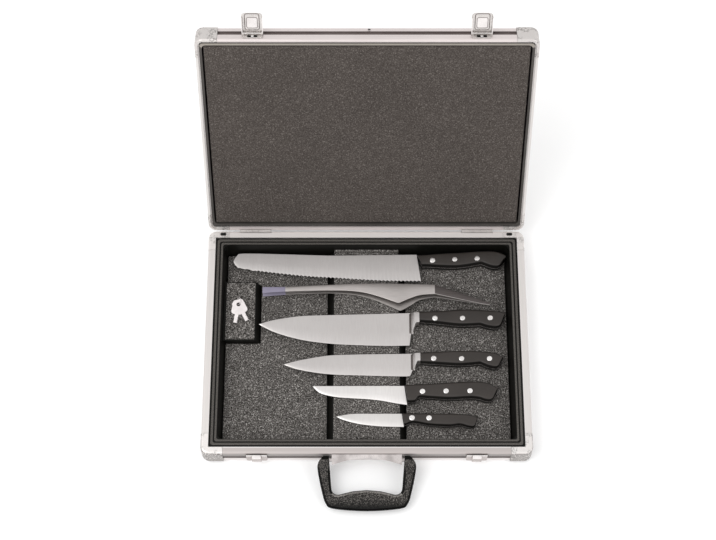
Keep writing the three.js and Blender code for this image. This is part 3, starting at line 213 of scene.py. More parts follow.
# Corner caps: plain plated metal, mottled in patches
capLook = {"roughness": 0.4, "mottleScale": 520, "patchScale": 75, "grainScale": 1600, "topFacing": 0.8}


def castMetal(name, mottleAndPaintedLight, smooth, spread=(0.47, 0.56)):
    material, tree = startMaterial(name, {"Metallic": 0.6, "Roughness": capLook["roughness"]})
    point = objectCoordinates(tree)
    mottle = noiseValue(tree, point, capLook["mottleScale"], 4, 0.7)
    patches = noiseValue(tree, point, capLook["patchScale"], 2)
    grain = noiseValue(tree, point, capLook["grainScale"], 2)
    # The mottle's stops also carry the front caps' painted shade
    mottled = ramp(tree, mottle, [(0.34, mottleAndPaintedLight[0]), (0.47, mottleAndPaintedLight[1]), (0.6, mottleAndPaintedLight[2])])
    plain = ramp(tree, grain, [(0.3, smooth[0]), (0.7, smooth[1])])
    where = ramp(tree, patches, [(spread[0], 0.0), (spread[1], 1.0)])
    base = mixColour(tree, where, plain, mottled)
    rough = ramp(tree, grain, [(0.3, 0.32), (0.7, 0.5)])
    return finishMaterial(material, base, rough, mottle, strength=0.2, depth=0.3 * mm)


# Black moulded plastic with a fine grain, also the shader of the painted shade in grooves and gaps
plasticLook = {"cloudScale": 14, "smoother": 0.06, "rougher": 0.08}


def blackPlastic(name, roughness=0.4, grainScale=2400, bump=0.2, shades=("#0b0b09", "#171714"), gloss=0.3):
    look = plasticLook
    material, tree = startMaterial(name, {"Roughness": roughness, "Specular IOR Level": gloss})
    grain = noiseValue(tree, objectCoordinates(tree), grainScale, 3)
    clouds = noiseValue(tree, objectCoordinates(tree), look["cloudScale"], 3)
    base = ramp(tree, clouds, [(0.35, shades[0]), (0.65, shades[1])])
    rough = ramp(tree, clouds, [(0.3, roughness - look["smoother"]), (0.7, roughness + look["rougher"])])
    return finishMaterial(material, base, rough, grain, bump, depth=0.2 * mm)


# Speckled grey foam sheet under the knives
padLook = {
    "roughness": 0.95, "speckScale": 640, "flakeScale": 860, "grainScale": 2400, "cloudScale": 22,
    "stops": [(0.32, "#0a0908"), (0.42, "#322f2d"), (0.51, "#55524f"), (0.6, "#7a7673"), (0.7, "#a9a5a1")],
}


def speckledPad(name):
    material, tree = startMaterial(name, {"Specular IOR Level": 0.15})
    point = objectCoordinates(tree)
    specks = noiseValue(tree, point, padLook["speckScale"], 3, 0.7)
    flakes = cellValue(tree, point, padLook["flakeScale"], "Color")
    grain = noiseValue(tree, point, padLook["grainScale"], 2)
    clouds = noiseValue(tree, point, padLook["cloudScale"], 3)
    specked = ramp(tree, specks, padLook["stops"])
    bright = ramp(tree, flakes, [(0.78, 0.0), (0.88, 1.0)])
    flecked = mixColour(tree, bright, specked, colour("#a8a4a0"))
    soft = ramp(tree, clouds, [(0.35, 0.88), (0.65, 1.0)])
    base = multiplied(tree, flecked, soft)
    return finishMaterial(material, base, padLook["roughness"], grain, strength=0.5, depth=0.4 * mm)


# Dark foam lining of the lid
foamLook = {"roughness": 1.0, "cellScale": 560, "fineScale": 1500, "cloudScale": 11}


def liningFoam(name):
    material, tree = startMaterial(name, {"Specular IOR Level": 0.1})
    point = objectCoordinates(tree)
    cells = noiseValue(tree, point, foamLook["cellScale"], 4, 0.8)
    fine = noiseValue(tree, point, foamLook["fineScale"], 3, 0.7)
    clouds = noiseValue(tree, point, foamLook["cloudScale"], 3)
    celled = ramp(tree, cells, [(0.32, "#1f1c1a"), (0.44, "#3f3936"), (0.54, "#4f4945"), (0.66, "#8f8883")])
    speckled = mixColour(tree, 0.35, celled, ramp(tree, fine, [(0.35, "#2c2826"), (0.65, "#6e6762")]))
    soft = ramp(tree, clouds, [(0.3, 0.86), (0.7, 1.0)])
    base = multiplied(tree, speckled, soft)
    return finishMaterial(material, base, foamLook["roughness"], cells, strength=0.6, depth=0.6 * mm)


# Ground steel with fine lines across the piece
steelLook = {"lineScale": 3400, "lineStretch": 0.02, "cloudScale": 18, "smoother": 0.03, "rougher": 0.04}


def groundSteel(name, across="x", shades=("#c6c1bf", "#d1cdcb"), roughness=0.34):
    look = steelLook
    material, tree = startMaterial(name, {"Metallic": 0.9, "Roughness": roughness})
    space = objectCoordinates(tree, stretched(across, 1.0, look["lineStretch"]))
    lines = noiseValue(tree, space, look["lineScale"], 3)
    clouds = noiseValue(tree, objectCoordinates(tree), look["cloudScale"], 3)
    lineShade = ramp(tree, lines, [(0.3, shades[0]), (0.7, shades[1])])
    soft = ramp(tree, clouds, [(0.35, 0.95), (0.65, 1.0)])
    rough = ramp(tree, lines, [(0.2, roughness - look["smoother"]), (0.8, roughness + look["rougher"])])
    base = multiplied(tree, lineShade, soft)
    return finishMaterial(material, base, rough, lines, strength=0.03, depth=0.1 * mm)


# Bright plated sheet of the fittings
platedLook = {"cloudScale": 60, "fineScale": 1800, "smoother": 0.05, "rougher": 0.1}


def platedSteel(name, shades=("#c9c4c1", "#dbd6d3"), roughness=0.24, metallic=0.7):
    look = platedLook
    material, tree = startMaterial(name, {"Metallic": metallic, "Roughness": roughness})
    clouds = noiseValue(tree, objectCoordinates(tree), look["cloudScale"], 2)
    fine = noiseValue(tree, objectCoordinates(tree), look["fineScale"], 2)
    base = ramp(tree, clouds, [(0.35, shades[0]), (0.65, shades[1])])
    rough = ramp(tree, fine, [(0.3, roughness - look["smoother"]), (0.7, roughness + look["rougher"])])
    return finishMaterial(material, base, rough, clouds, strength=0.06, depth=0.2 * mm)


# Pebble grained plastic of the carrying handle, with a painted shade along the grip's rounded front
pebbleLook = {"pebbleScale": 620, "noiseScale": 700, "shadeDarkestAt": 4 * mm, "shadeFadedAt": 13 * mm}
handleFront = min(vertex.co.y for vertex in nodes["handle"].data.vertices)


def pebblePlastic(name, stops, gloss=0.16):
    material, tree = startMaterial(name, {"Specular IOR Level": gloss})
    point = objectCoordinates(tree)
    pebbles = cellValue(tree, point, pebbleLook["pebbleScale"])
    noiseFac = noiseValue(tree, point, pebbleLook["noiseScale"], 3, 0.7)
    # Painted shade, darkest near the grip's front edge and fading behind it
    dark, pale = handleFront + pebbleLook["shadeDarkestAt"], handleFront + pebbleLook["shadeFadedAt"]
    shade = ramp(tree, between(tree, axisValue(tree, point, "Y"), dark, pale), [(0.0, 0.12), (1.0, 1.0)])
    base = multiplied(tree, ramp(tree, noiseFac, stops), shade)
    rough = ramp(tree, pebbles, [(0.0, 0.36), (0.6, 0.6)])
    return finishMaterial(material, base, rough, pebbles, strength=0.6, depth=0.4 * mm)


# The tray is darkest on its floor and walls, and its two raised ridges are painted grey as a painted highlight
trayLook = {"ridgeLow": 31.35 * mm, "ridgeHigh": 31.9 * mm, "grainScale": 900}


def trayPlastic(name):
    material, tree = startMaterial(name, {"Specular IOR Level": 0.16})
    point = objectCoordinates(tree)
    ridge = between(tree, axisValue(tree, point, "Z"), trayLook["ridgeLow"], trayLook["ridgeHigh"])
    grain = noiseValue(tree, point, trayLook["grainScale"], 3, 0.7)
    dark = ramp(tree, grain, [(0.35, "#070705"), (0.65, "#12110e")])
    # Painted highlight on the two ridges, with the plastic's grain
    mottleAndPaintedLight = ramp(tree, grain, [(0.35, "#33312e"), (0.65, "#615d59")])
    rough = ramp(tree, grain, [(0.3, 0.42), (0.7, 0.6)])
    base = mixColour(tree, ridge, dark, mottleAndPaintedLight)
    return finishMaterial(material, base, rough, grain, strength=0.15, depth=0.2 * mm)


looks = {
    "railX": aluminium("satinAluminiumLengthwise", "x", shades=("#d2c8c6", "#e2d9d7")),
    "paleLip": blackPlastic("paleLiningLip", 0.5, shades=("#88827b", "#989189")),
    "lidRailY": aluminium("satinAluminiumLidSide", "y", -openAngle),
    # The base rails are lit and shaded copies of one metal: each side has its own painted rim tone and painted
    # highlight
    "baseFront": baseRailMetal("baseFrontPaintedShadeAluminium", "x", "#bdb5b2"),
    "baseBack": baseRailMetal("baseBackPaintedShadeAluminium", "x", "#e3dedb", "#e9e4e1"),
    "baseSide": baseRailMetal("baseSidePaintedShadeAluminium", "y", "#d9d4d1", "#e4dfdc"),
    "panel": aluminium("aluminiumSheet", "x", shades=("#b2adaa", "#c5c0bd")),
    "corner": castMetal("mottledCornerMetal", ("#9b9794", "#c3bfbc", "#e6e2df"), ("#dad5d2", "#eae5e2")),
    # The front caps are a shaded copy of the corner metal: their darker mottle is painted shade
    "shadedFrontCorner": castMetal(
        "shadedCornerMetal", ("#3a3634", "#827d7a", "#d6d1ce"), ("#8f8a87", "#aaa5a2"), (0.38, 0.5)),
    "lidCorner": castMetal("lidCornerMetal", ("#7a7572", "#aea9a6", "#ddd8d5"), ("#c6c1be", "#d8d3d0")),
    "tray": trayPlastic("vacuumFormedTray"),
    "groove": blackPlastic("shadedGroove", 0.7, 900, 0.1, ("#5d5351", "#6e6462"), 0.15),
    # Painted shade in gaps, slots and the notch
    "gapShade": blackPlastic("gapShade", 0.8, 900, 0.1, ("#100f0e", "#191716"), 0.1),
    "lining": blackPlastic("liningFramePlastic", 0.5, shades=("#3c3936", "#4a4643")),
    "pad": speckledPad("speckledFoamSheet"),
    "foam": liningFoam("lidFoam"),
    "rubber": blackPlastic("bumperRubber", 0.75),
    "carryHandle": pebblePlastic("pebbleGrainedPlastic", [(0.36, "#060504"), (0.5, "#211f1d"), (0.62, "#6b6763")]),
    # Painted shade on the handle's edge faces, and a painted highlight along the grip's inner edge
    "handleEdgeShade": pebblePlastic("handleEdgeShadedPlastic", [(0.36, "#030302"), (0.62, "#0e0d0c")], 0.08),
    "handleShine": pebblePlastic("handlePaintedHighlight", [(0.36, "#45423f"), (0.62, "#8c8884")]),
    "hingeLeaf": platedSteel("hingeLeafSteel", ("#a39e9b", "#b6b1ae"), 0.32, 0.5),
    # Painted shade on the knife handles' side faces
    "gripEdgeShade": blackPlastic("knifeHandleEdgeShade", 0.4, 1500, 0.1, ("#0d0b0a", "#151311"), 0.2),
    # The catch plates are a shaded copy of the plated steel: their darker tone is painted shade
    "shadedCatchPlate": platedSteel("catchPlateShadedSteel", ("#a39a97", "#bab1ae"), 0.3, 0.5),
    # Polished sheet, brightened further as a painted highlight
    "polishedAndHighlit": platedSteel("polishedHighlitSheet", ("#dcd6d4", "#ece7e5"), 0.3, 0.4),
    "bracket": platedSteel("handleBracketSheet", ("#a9a2a0", "#cfc8c6"), 0.3, 0.5),
    "grip": blackPlastic("knifeHandlePlastic", 0.34, 1500, 0.1, ("#2b2724", "#37322f"), 0.32),
    "blade": groundSteel("groundBladeSteel"),
    "paleBlade": groundSteel("paleBladeSteel", shades=("#dcd8d6", "#eae7e5"), roughness=0.36),
    "smallBlade": groundSteel("smallBladeSteel", shades=("#d6d2d0", "#e2dfdc"), roughness=0.35),
    "shadedStep": groundSteel("shadedStepSteel", shades=("#5b5552", "#6e6865"), roughness=0.4),
    "tweezers": groundSteel("tweezerSteel", "y", ("#b2aca9", "#c6c0bd"), 0.3),
    # Painted shade on the lower arm and the upper arm's tail
    "shadedUnderArm": groundSteel("tweezerUnderShadedSteel", "y", ("#8b8683", "#a39e9b"), 0.34),
    "tail": groundSteel("tweezerTailShadedSteel", "y", ("#544e4c", "#676160"), 0.4),
    "tips": blackPlastic("tweezerTipSleeve", 0.35, 900, 0.05, ("#6f6a7c", "#8c8799"), 0.3),
    "fitting": platedSteel("platedSteel"),
    "rivet": platedSteel("polishedRivet", ("#dedad8", "#f2efed"), 0.22),
    "key": platedSteel("stampedKeySteel", ("#dcd6d5", "#ece6e5"), 0.34, 0.4),
}
print("materials made", len(looks))


# The first pattern that fits a carried-over piece's name gives its look
lookTable = {
    "lid_rail*left": "lidRailY", "lid_rail*right": "lidRailY", "lid_rail*": "railX",
    "base_rail*front": "baseFront", "base_rail*back": "baseBack", "base_rail*": "baseSide", "*_panel": "panel",
    "base_corner_front*": "shadedFrontCorner", "base_corner*": "corner", "lid_corner*": "lidCorner",
    "storage_tray*": "tray", "lid_lining*": "lining", "lid_foam*": "foam", "handle_bracket*": "bracket",
    "handle*": "carryHandle", "catch*": "shadedCatchPlate", "boning_knife*blade": "paleBlade", "*knife_blade": "blade",
    "*knife_handle": "grip", "*pad": "pad", "floor_pad*": "pad", "bumper*": "rubber", "tweezers*": "tweezers",
    "key_*": "key", "hinge*": "hingeLeaf", "*": "fitting",
}

# Carried-over pieces get a finish, a softened edge and smooth shading
edgeSoftening = {
    "width": 0.35 * mm, "segments": 2, "limit_method": "ANGLE", "angle_limit": math.radians(28),
    "harden_normals": True,
}
for name, node in nodes.items():
    look = next(look for pattern, look in lookTable.items() if fnmatch(name, pattern))
    node.data.materials.clear()
    node.data.materials.append(looks[look])
    node.data.shade_smooth()
    bevel = node.modifiers.new("softEdges", "BEVEL")
    for setting, value in edgeSoftening.items():
        setattr(bevel, setting, value)


# Some faces of a carried-over piece have a finish of their own
def paintFaces(name, lookName, chosen):
    mesh, look = nodes[name].data, looks[lookName]
    if look.name not in mesh.materials:
        mesh.materials.append(look)
    slotIndex = list(mesh.materials).index(look)
    for polygon in mesh.polygons:
        if chosen(polygon.center, polygon.normal):
            polygon.material_index = slotIndex


# The lengthwise grooves are in shade. Depth is measured inwards from the outer face
railFace = {"halfLength": 214 * mm, "halfWidth": 159 * mm, "baseRim": 33.0 * mm, "lidRim": 33.6 * mm}
grooves = {"start": 10.3 * mm, "end": 19.5 * mm, "skin": 0.25 * mm, "baseDepth": 6.2 * mm, "lidDepth": 3.8 * mm}


def isGroove(point, side, isLid):
    spot = lidClosing @ point if isLid else point
    alongX = side in ("front", "back")
    outer = railFace["halfWidth"] - abs(spot.y) if alongX else railFace["halfLength"] - abs(spot.x)
    rise = spot.z - railFace["lidRim"] if isLid else railFace["baseRim"] - spot.z
    deepest = grooves["lidDepth" if isLid else "baseDepth"]
    return grooves["skin"] < outer < deepest and grooves["start"] < rise < grooves["end"]


for side in ("front", "right", "back", "left"):
    for part in ("base", "lid"):
        paintFaces(f"{part}_rail_{side}", "groove", lambda point, normal: isGroove(point, side, part == "lid"))

# The carrying handle is smooth and painted near black round its edges as painted shade, and has a painted
# highlight along its inner edge
handleFaces = {"droop": math.radians(16.3), "flat": 0.97, "shineFrom": 0.8, "inward": 0.05, "gripBack": -0.2}
handleUp = Matrix.Rotation(handleFaces["droop"], 3, "X") @ Vector((0, 0, 1))
paintFaces("handle", "handleEdgeShade", lambda point, normal: abs(normal.dot(handleUp)) < handleFaces["flat"])
paintFaces(
    "handle", "handleShine",
    lambda point, normal: handleFaces["shineFrom"] < normal.dot(handleUp) < handleFaces["flat"]
    and normal.y > handleFaces["inward"] and point.y < handleFaces["gripBack"],
)

# Painted light: the front corner caps are painted bright on their top faces, and their other faces keep the darker
# painted shade
for side in ("left", "right"):
    paintFaces(f"base_corner_front_{side}", "corner", lambda point, normal: normal.z > capLook["topFacing"])

# The lining's lip is paler along the lid's front edge
lipFaces = {"edge": -146 * mm, "facing": -0.5}
paintFaces(
    "lid_lining_frame", "paleLip",
    lambda point, normal: (lidClosing @ point).y < lipFaces["edge"]
    and (lidClosing.to_3x3() @ normal).z < lipFaces["facing"],
)
print("frame dressed")


# Building helpers
def addObject(name, data):
    thing = bpy.data.objects.new(name, data)
    bpy.context.scene.collection.objects.link(thing)
    return thing


def addPiece(name, build, lookNames, body, smoothAngle=40):
    mesh = bpy.data.meshes.new(name)
    bmesh.ops.recalc_face_normals(build, faces=build.faces)
    build.to_mesh(mesh)
    build.free()
    mesh.shade_smooth()
    mesh.set_sharp_from_angle(angle=math.radians(smoothAngle))
    for look in lookNames:
        mesh.materials.append(looks[look])
    piece = addObject(name, mesh)
    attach(piece, body)
    return piece


# A foam sheet: its outline is pulled up, the upper edges are rounded, and cuts let the face wave
def softSheet(name, outline, thickness, place, look, body, settings, bends=()):
    build = bmesh.new()
    base = build.faces.new([build.verts.new((x, y, 0)) for x, y in outline])
    grown = bmesh.ops.extrude_face_region(build, geom=[base], use_keep_orig=True)["geom"]
    raised = [item for item in grown if isinstance(item, bmesh.types.BMVert)]
    bmesh.ops.translate(build, verts=raised, vec=(0, 0, thickness - settings["wave"]))
    bmesh.ops.recalc_face_normals(build, faces=build.faces)
    rim = [edge for edge in build.edges if all(vertex in raised for vertex in edge.verts)]
    bmesh.ops.bevel(
        build, geom=rim, offset=settings["edgeRadius"], offset_type="OFFSET", segments=4, profile=0.5,
        affect="EDGES", material=-1,
    )
    for axis in (0, 1):
        end = max(point[axis] for point in outline)
        count = round(end / settings["spacing"])
        cuts = [end * i / count for i in range(1, count)] + [bend for bend in bends if axis]
        normal = Vector((1 - axis, axis, 0))
        for cut in cuts:
            whole = [*build.verts, *build.edges, *build.faces]
            bmesh.ops.bisect_plane(build, geom=whole, plane_co=cut * normal, plane_no=normal, dist=1e-6)
    for vertex in build.verts:
        u, v, height = vertex.co
        wave = noise.noise(Vector((u, v, thickness)) * settings["waveScale"]) * settings["wave"]
        vertex.co = place(u, v, height + wave * max(0, height / thickness - 0.5))  # the underside stays flat
    piece = addPiece(name, build, [look], body, 60)
    return piece


def sheetOutline(width, depth, notch=None):
    corners = [(0, 0), (width, 0), (width, depth), (0, depth)]
    if notch:
        end, front, back = notch
        corners += [(0, back), (end, back), (end, front), (0, front)]
    return corners


# Foam sheets of the floor and of the key box
floorFoam = {"edgeRadius": 1.2 * mm, "spacing": 12 * mm, "wave": 0.15 * mm, "waveScale": 45, "fill": 0.9}
keyFoam = {"edgeRadius": 0.7 * mm, "spacing": 8 * mm, "wave": 0.1 * mm, "waveScale": 60, "fill": 0.9}
keyNotch = {"right": -141.7 * mm, "front": 4.2 * mm, "back": 89.8 * mm}
for node, name, settings in (
    ("floor_pad_left", "floor_foam_left", floorFoam),
    ("floor_pad_right", "floor_foam_right", floorFoam),
    ("key_pad", "key_foam", keyFoam),
):
    low, high = (Vector(corner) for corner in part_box(node))
    size = high - low
    notch = (keyNotch["right"] - low.x, keyNotch["front"] - low.y, keyNotch["back"] - low.y)
    outline = sheetOutline(size.x, size.y, notch if node == "floor_pad_left" else None)
    sheet = softSheet(
        name, outline, size.z, lambda u, v, h: low + Vector((u, v, h)), "pad", "base", settings,
    )
    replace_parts(sheet, node)

# The hump's sheet is bent up at the back
humpFoam = {
    "edgeRadius": 0.9 * mm, "spacing": 6 * mm, "wave": 0.1 * mm, "waveScale": 50, "fill": 0.9,
    "thickness": 2.5 * mm, "bendRadius": 3.4 * mm, "bendSteps": 8,
}
low, high = (Vector(corner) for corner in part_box("hump_pad"))
humpFlat = high.y - humpFoam["bendRadius"] - low.y
humpBend = humpFoam["bendRadius"] * math.pi / 2
humpLength = humpFlat + humpBend + high.z - low.z - humpFoam["bendRadius"]


def humpPlace(u, v, h):
    reach = humpFoam["bendRadius"] - h
    if v <= humpFlat:
        return low + Vector((u, v, h))
    angle = min((v - humpFlat) / humpFoam["bendRadius"], math.pi / 2)
    rise = max(0, v - humpFlat - humpBend)
    y = humpFlat + reach * math.sin(angle)
    return low + Vector((u, y, humpFoam["bendRadius"] - reach * math.cos(angle) + rise))


humpCuts = [humpFlat + humpBend * i / humpFoam["bendSteps"] for i in range(humpFoam["bendSteps"] + 1)]
sheet = softSheet(
    "hump_foam", sheetOutline(high.x - low.x, humpLength), humpFoam["thickness"], humpPlace, "pad", "base",
    humpFoam, humpCuts,
)
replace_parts(sheet, "hump_pad")

lidFoamSheet = {"edgeRadius": 0.9 * mm, "spacing": 12 * mm, "wave": 0.15 * mm, "waveScale": 30, "fill": 0.9}
corners = [lidClosing @ vertex.co for vertex in nodes["lid_foam"].data.vertices]
low, high = (Vector(pick(corner[i] for corner in corners) for i in range(3)) for pick in (min, max))
size = high - low
lidCorner = Vector((low.x, low.y, high.z))
sheet = softSheet(
    "lid_foam_sheet", sheetOutline(size.x, size.y), size.z,
    lambda u, v, h: lidOpening @ (lidCorner + Vector((u, v, -h))), "foam", "lid", lidFoamSheet,
)
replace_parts(sheet, "lid_foam")
print("foam sheets made")


# Lines through a few points, and the height of such a line at a place along it
def smoothLine(points, perSpan=8):
    line = []
    for i in range(len(points) - 1):
        before, start, end, after = (Vector(points[max(0, min(len(points) - 1, i + k))]) for k in (-1, 0, 1, 2))
        for step in range(perSpan):
            t = step / perSpan
            pull, push = (end - before) / 2, (after - start) / 2
            line.append(
                (2 * start - 2 * end + pull + push) * t ** 3
                + (-3 * start + 3 * end - 2 * pull - push) * t ** 2
                + pull * t + start
            )
    return line + [Vector(points[-1])]


def heightAt(line, x):
    for first, second in zip(line, line[1:]):
        low, high = min(first.x, second.x), max(first.x, second.x)
        if low <= x <= high and high > low:
            return first.y + (second.y - first.y) * (x - first.x) / (second.x - first.x)
    return min(line, key=lambda point: abs(point.x - x)).y


def eased(value):
    value = max(0, min(1, value))
    return value * value * (3 - 2 * value)


# Skin over a row of closed sections: a grid is laid along them, its seam merged and its ends filled
def addLoft(build, sections, slots=None):
    count, around = len(sections) - 1, len(sections[0])
    grid = bmesh.ops.create_grid(build, x_segments=count, y_segments=around, size=0.5)["verts"]
    for face in {face for vertex in grid for face in vertex.link_faces}:
        band = min(count - 1, int((face.calc_center_median().x + 0.5) * count))
        face.material_index = int(slots[band]) if slots else 0
    for vertex in grid:
        along, turn = round((vertex.co.x + 0.5) * count), round((vertex.co.y + 0.5) * around)
        vertex.co = sections[along][turn % around]
    bmesh.ops.remove_doubles(build, verts=grid, dist=1e-7)
    ends = {edge for vertex in grid if vertex.is_valid for edge in vertex.link_edges if edge.is_boundary}
    lids = bmesh.ops.holes_fill(build, edges=list(ends), sides=0)["faces"]
    for face in lids:
        face.material_index = int(slots[-1]) if slots else 0
    bmesh.ops.recalc_face_normals(build, faces=build.faces)


# A rounded rectangle round the middle
def roundedOutline(halfX, halfY, bendX, bendY, arcSteps):
    points = []
    for quarter, (signX, signY) in enumerate(((1, 1), (-1, 1), (-1, -1), (1, -1))):
        for step in range(arcSteps + 1):
            angle = math.pi / 2 * (quarter + step / arcSteps)
            x = signX * (halfX - bendX) + bendX * math.cos(angle)
            y = signY * (halfY - bendY) + bendY * math.sin(angle)
            points.append((x, y))
    return points


def roundedSection(x, top, bottom, half, radius, arcSteps=5):
    deep = max(0.02 * mm, (top - bottom) / 2)
    outline = roundedOutline(deep, half, min(radius, deep * 0.98), min(radius, half * 0.9), arcSteps)
    return [Vector((x, (top + bottom) / 2 + y, z)) for y, z in outline]


# Small turned discs: each profile point is a radius and a height, and a flip of -1 turns it over
def addTurned(build, profile, place, flip, steps=28):
    before = set(build.verts)
    points = [build.verts.new((radius, 0, flip * height)) for radius, height in profile]
    lines = [build.edges.new(pair) for pair in zip(points, points[1:])]
    bmesh.ops.spin(
        build, geom=points + lines, cent=(0, 0, 0), axis=(0, 0, 1), angle=2 * math.pi, steps=steps,
        use_merge=True,
    )
    fresh = [vertex for vertex in build.verts if vertex not in before]
    ends = {edge for vertex in fresh for edge in vertex.link_edges if edge.is_boundary}
    bmesh.ops.holes_fill(build, edges=list(ends), sides=0)
    bmesh.ops.translate(build, verts=fresh, vec=place)


# The five knives, in millimetres. Points are shares of the blade's or the handle's own size
knifeLook = {
    "middle": 17.05 * mm, "spineHalf": 1.25 * mm, "edgeHalf": 0.12 * mm, "bevelHalf": 0.5 * mm,
    "handleRound": 3.4 * mm, "rivetRadius": 3.6 * mm, "rivetProud": 0.28 * mm, "tangHalf": 1.2 * mm,
    "tangProud": 0.12 * mm, "buttNarrowing": 0.16, "tipThickness": 0.45, "thinOver": 0.8, "slantReach": 40 * mm,
    "toothFade": 8 * mm, "spineRound": 0.25 * mm, "handleGap": 0.3 * mm, "bolsterLead": 2.5 * mm,
    "bolsterRound": 1.6 * mm, "bolsterBands": 14, "shadedBands": 3, "tipShare": 0.12, "tipSteps": 12,
    "bladeSteps": 90, "stepsPerTooth": 6, "buttFrom": 0.82, "gripSteps": 44, "buttSteps": 16, "flatFrom": 0.72,
    "narrowFrom": 0.86, "frontSwell": 0.94, "swellOver": 0.2, "leanOver": 0.15,
}
knives = {
    "bread_knife": {
        "heel": (74.0, 130.5), "length": 254.7, "depth": 40.0, "handleStart": 5.0, "handleLength": 110.6,
        "handleDepth": 18.0, "thickness": 17.0, "drop": 2.8, "pitch": 5.3, "toothDepth": 1.7, "bevel": 3.0,
        "slant": 5.6, "handleFront": (-9.6, -3.4),
        "spine": [(0.3, 0.02), (0.484, 0.03), (0.726, -0.02), (0.95, -0.05), (0.985, 0.06), (1, 0.24)],
        "edge": [(1, 0.24), (0.985, 0.42), (0.942, 0.55), (0.643, 0.795), (0.452, 0.88), (0.215, 0.978), (0, 1)],
        "top": [(0.2, -0.12), (0.427, -0.2), (0.791, -0.33), (0.972, -0.12), (1, 0.22)],
        "beak": (0.885, 1.22),
        "belly": [(0, 0.85), (0.06, 0.85), (0.2, 0.92), (0.422, 0.93), (0.701, 0.633)],
        "rivets": [(0.097, 0.49), (0.37, 0.41), (0.645, 0.33)],
    },
    "chef_knife": {
        "heel": (57.0, 44.0), "length": 201.2, "depth": 46.5, "handleStart": 14.0, "handleLength": 115.0,
        "handleDepth": 19.0, "thickness": 17.0, "bolster": 11.0, "bolsterHalf": 7.0,
        "bolsterDepths": (0.65, 0.33), "bevel": 2.2,
        "spine": [(0.393, 0.048), (0.56, 0.063), (0.726, 0.093), (0.892, 0.204), (1, 0.341)],
        "edge": [(1, 0.341), (0.89, 0.593), (0.724, 0.813), (0.551, 0.93), (0.386, 0.98), (0.157, 1.01), (0, 1)],
        "top": [(0.243, -0.058), (0.536, -0.158), (0.827, -0.079), (0.96, 0.02), (1, 0.153)],
        "beak": (0.917, 1.447),
        "belly": [(0, 0.716), (0.02, 0.716), (0.24, 0.842), (0.472, 0.995), (0.705, 0.942)],
        "rivets": [(0.178, 0.537), (0.498, 0.537), (0.819, 0.52)],
    },
    "carving_knife": {
        "heel": (57.0, -14.7), "length": 167.2, "depth": 31.7, "handleStart": 14.5, "handleLength": 109.5,
        "handleDepth": 16.5, "thickness": 17.0, "bolster": 10.0, "bolsterHalf": 7.0,
        "bolsterDepths": (0.75, 0.38), "bevel": 1.8,
        "spine": [(0.3, 0.02), (0.473, 0.038), (0.655, 0.082), (0.869, 0.284), (1, 0.473)],
        "edge": [(1, 0.473), (0.868, 0.71), (0.65, 0.896), (0.394, 0.956), (0.03, 1), (0, 0.92)],
        "top": [(0.238, -0.061), (0.481, -0.145), (0.723, -0.103), (0.905, 0.067), (1, 0.37)],
        "beak": (0.915, 1.576),
        "belly": [(0, 0.848), (0.02, 0.848), (0.236, 0.933), (0.477, 1.018), (0.72, 0.891)],
        "rivets": [(0.158, 0.56), (0.494, 0.58), (0.831, 0.58)],
    },
    "boning_knife": {
        "heel": (53.0, -60.2), "length": 124.1, "depth": 26.1, "handleStart": 0.5, "handleLength": 119.5,
        "handleDepth": 18.5, "thickness": 16.0, "bevel": 1.5, "look": "paleBlade",
        "slant": 3.4, "handleFront": (-3.2, 0.2),
        "spine": [(0.35, 0), (0.7, 0), (1, 0)],
        "edge": [
            (1, 0), (0.921, 0.36), (0.776, 0.56), (0.6, 0.64), (0.4, 0.7), (0.25, 0.79), (0.12, 0.91), (0, 1),
        ],
        "top": [(0.253, -0.076), (0.584, -0.205), (0.804, -0.232), (0.913, -0.076), (1, 0.227)],
        "beak": (0.917, 1.395),
        "belly": [
            (0, 1.26), (0.03, 1.26), (0.085, 1.22), (0.125, 0.908), (0.251, 0.946), (0.47, 1.022),
            (0.689, 0.946), (0.799, 1.022),
        ],
        "rivets": [(0.166, 0.54), (0.424, 0.514), (0.686, 0.503)],
    },
    "paring_knife": {
        "heel": (48.4, -99.0), "length": 88.4, "depth": 17.8, "handleStart": 1.0, "handleLength": 95.5,
        "handleDepth": 16.0, "thickness": 13.0, "bevel": 1.2,
        "slant": 2.6, "handleFront": (-3.0, -0.4),
        "spine": [(0.4, 0), (0.764, 0.006), (1, 0.208)],
        "edge": [(1, 0.208), (0.868, 0.494), (0.65, 0.775), (0.357, 0.949), (0.01, 1), (0, 1)],
        "top": [(0.343, 0.044), (0.685, 0.0625), (0.891, 0.15), (1, 0.3625)],
        "beak": (0.954, 1.356),
        "belly": [(0, 1), (0.02, 1), (0.122, 0.794), (0.34, 1.01), (0.613, 1.094), (0.75, 1.01), (0.859, 1.18)],
        "rivets": [(0.1, 0.46), (0.333, 0.475)], "look": "smallBlade",
    },
}


def knifeOrigin(knife):
    return Vector((knife["heel"][0] * mm, knife["heel"][1] * mm, knifeLook["middle"]))


def bolsterSpan(knife):
    back = knife["handleStart"] * mm - knifeLook["handleGap"]
    return back - knife["bolster"] * mm, back


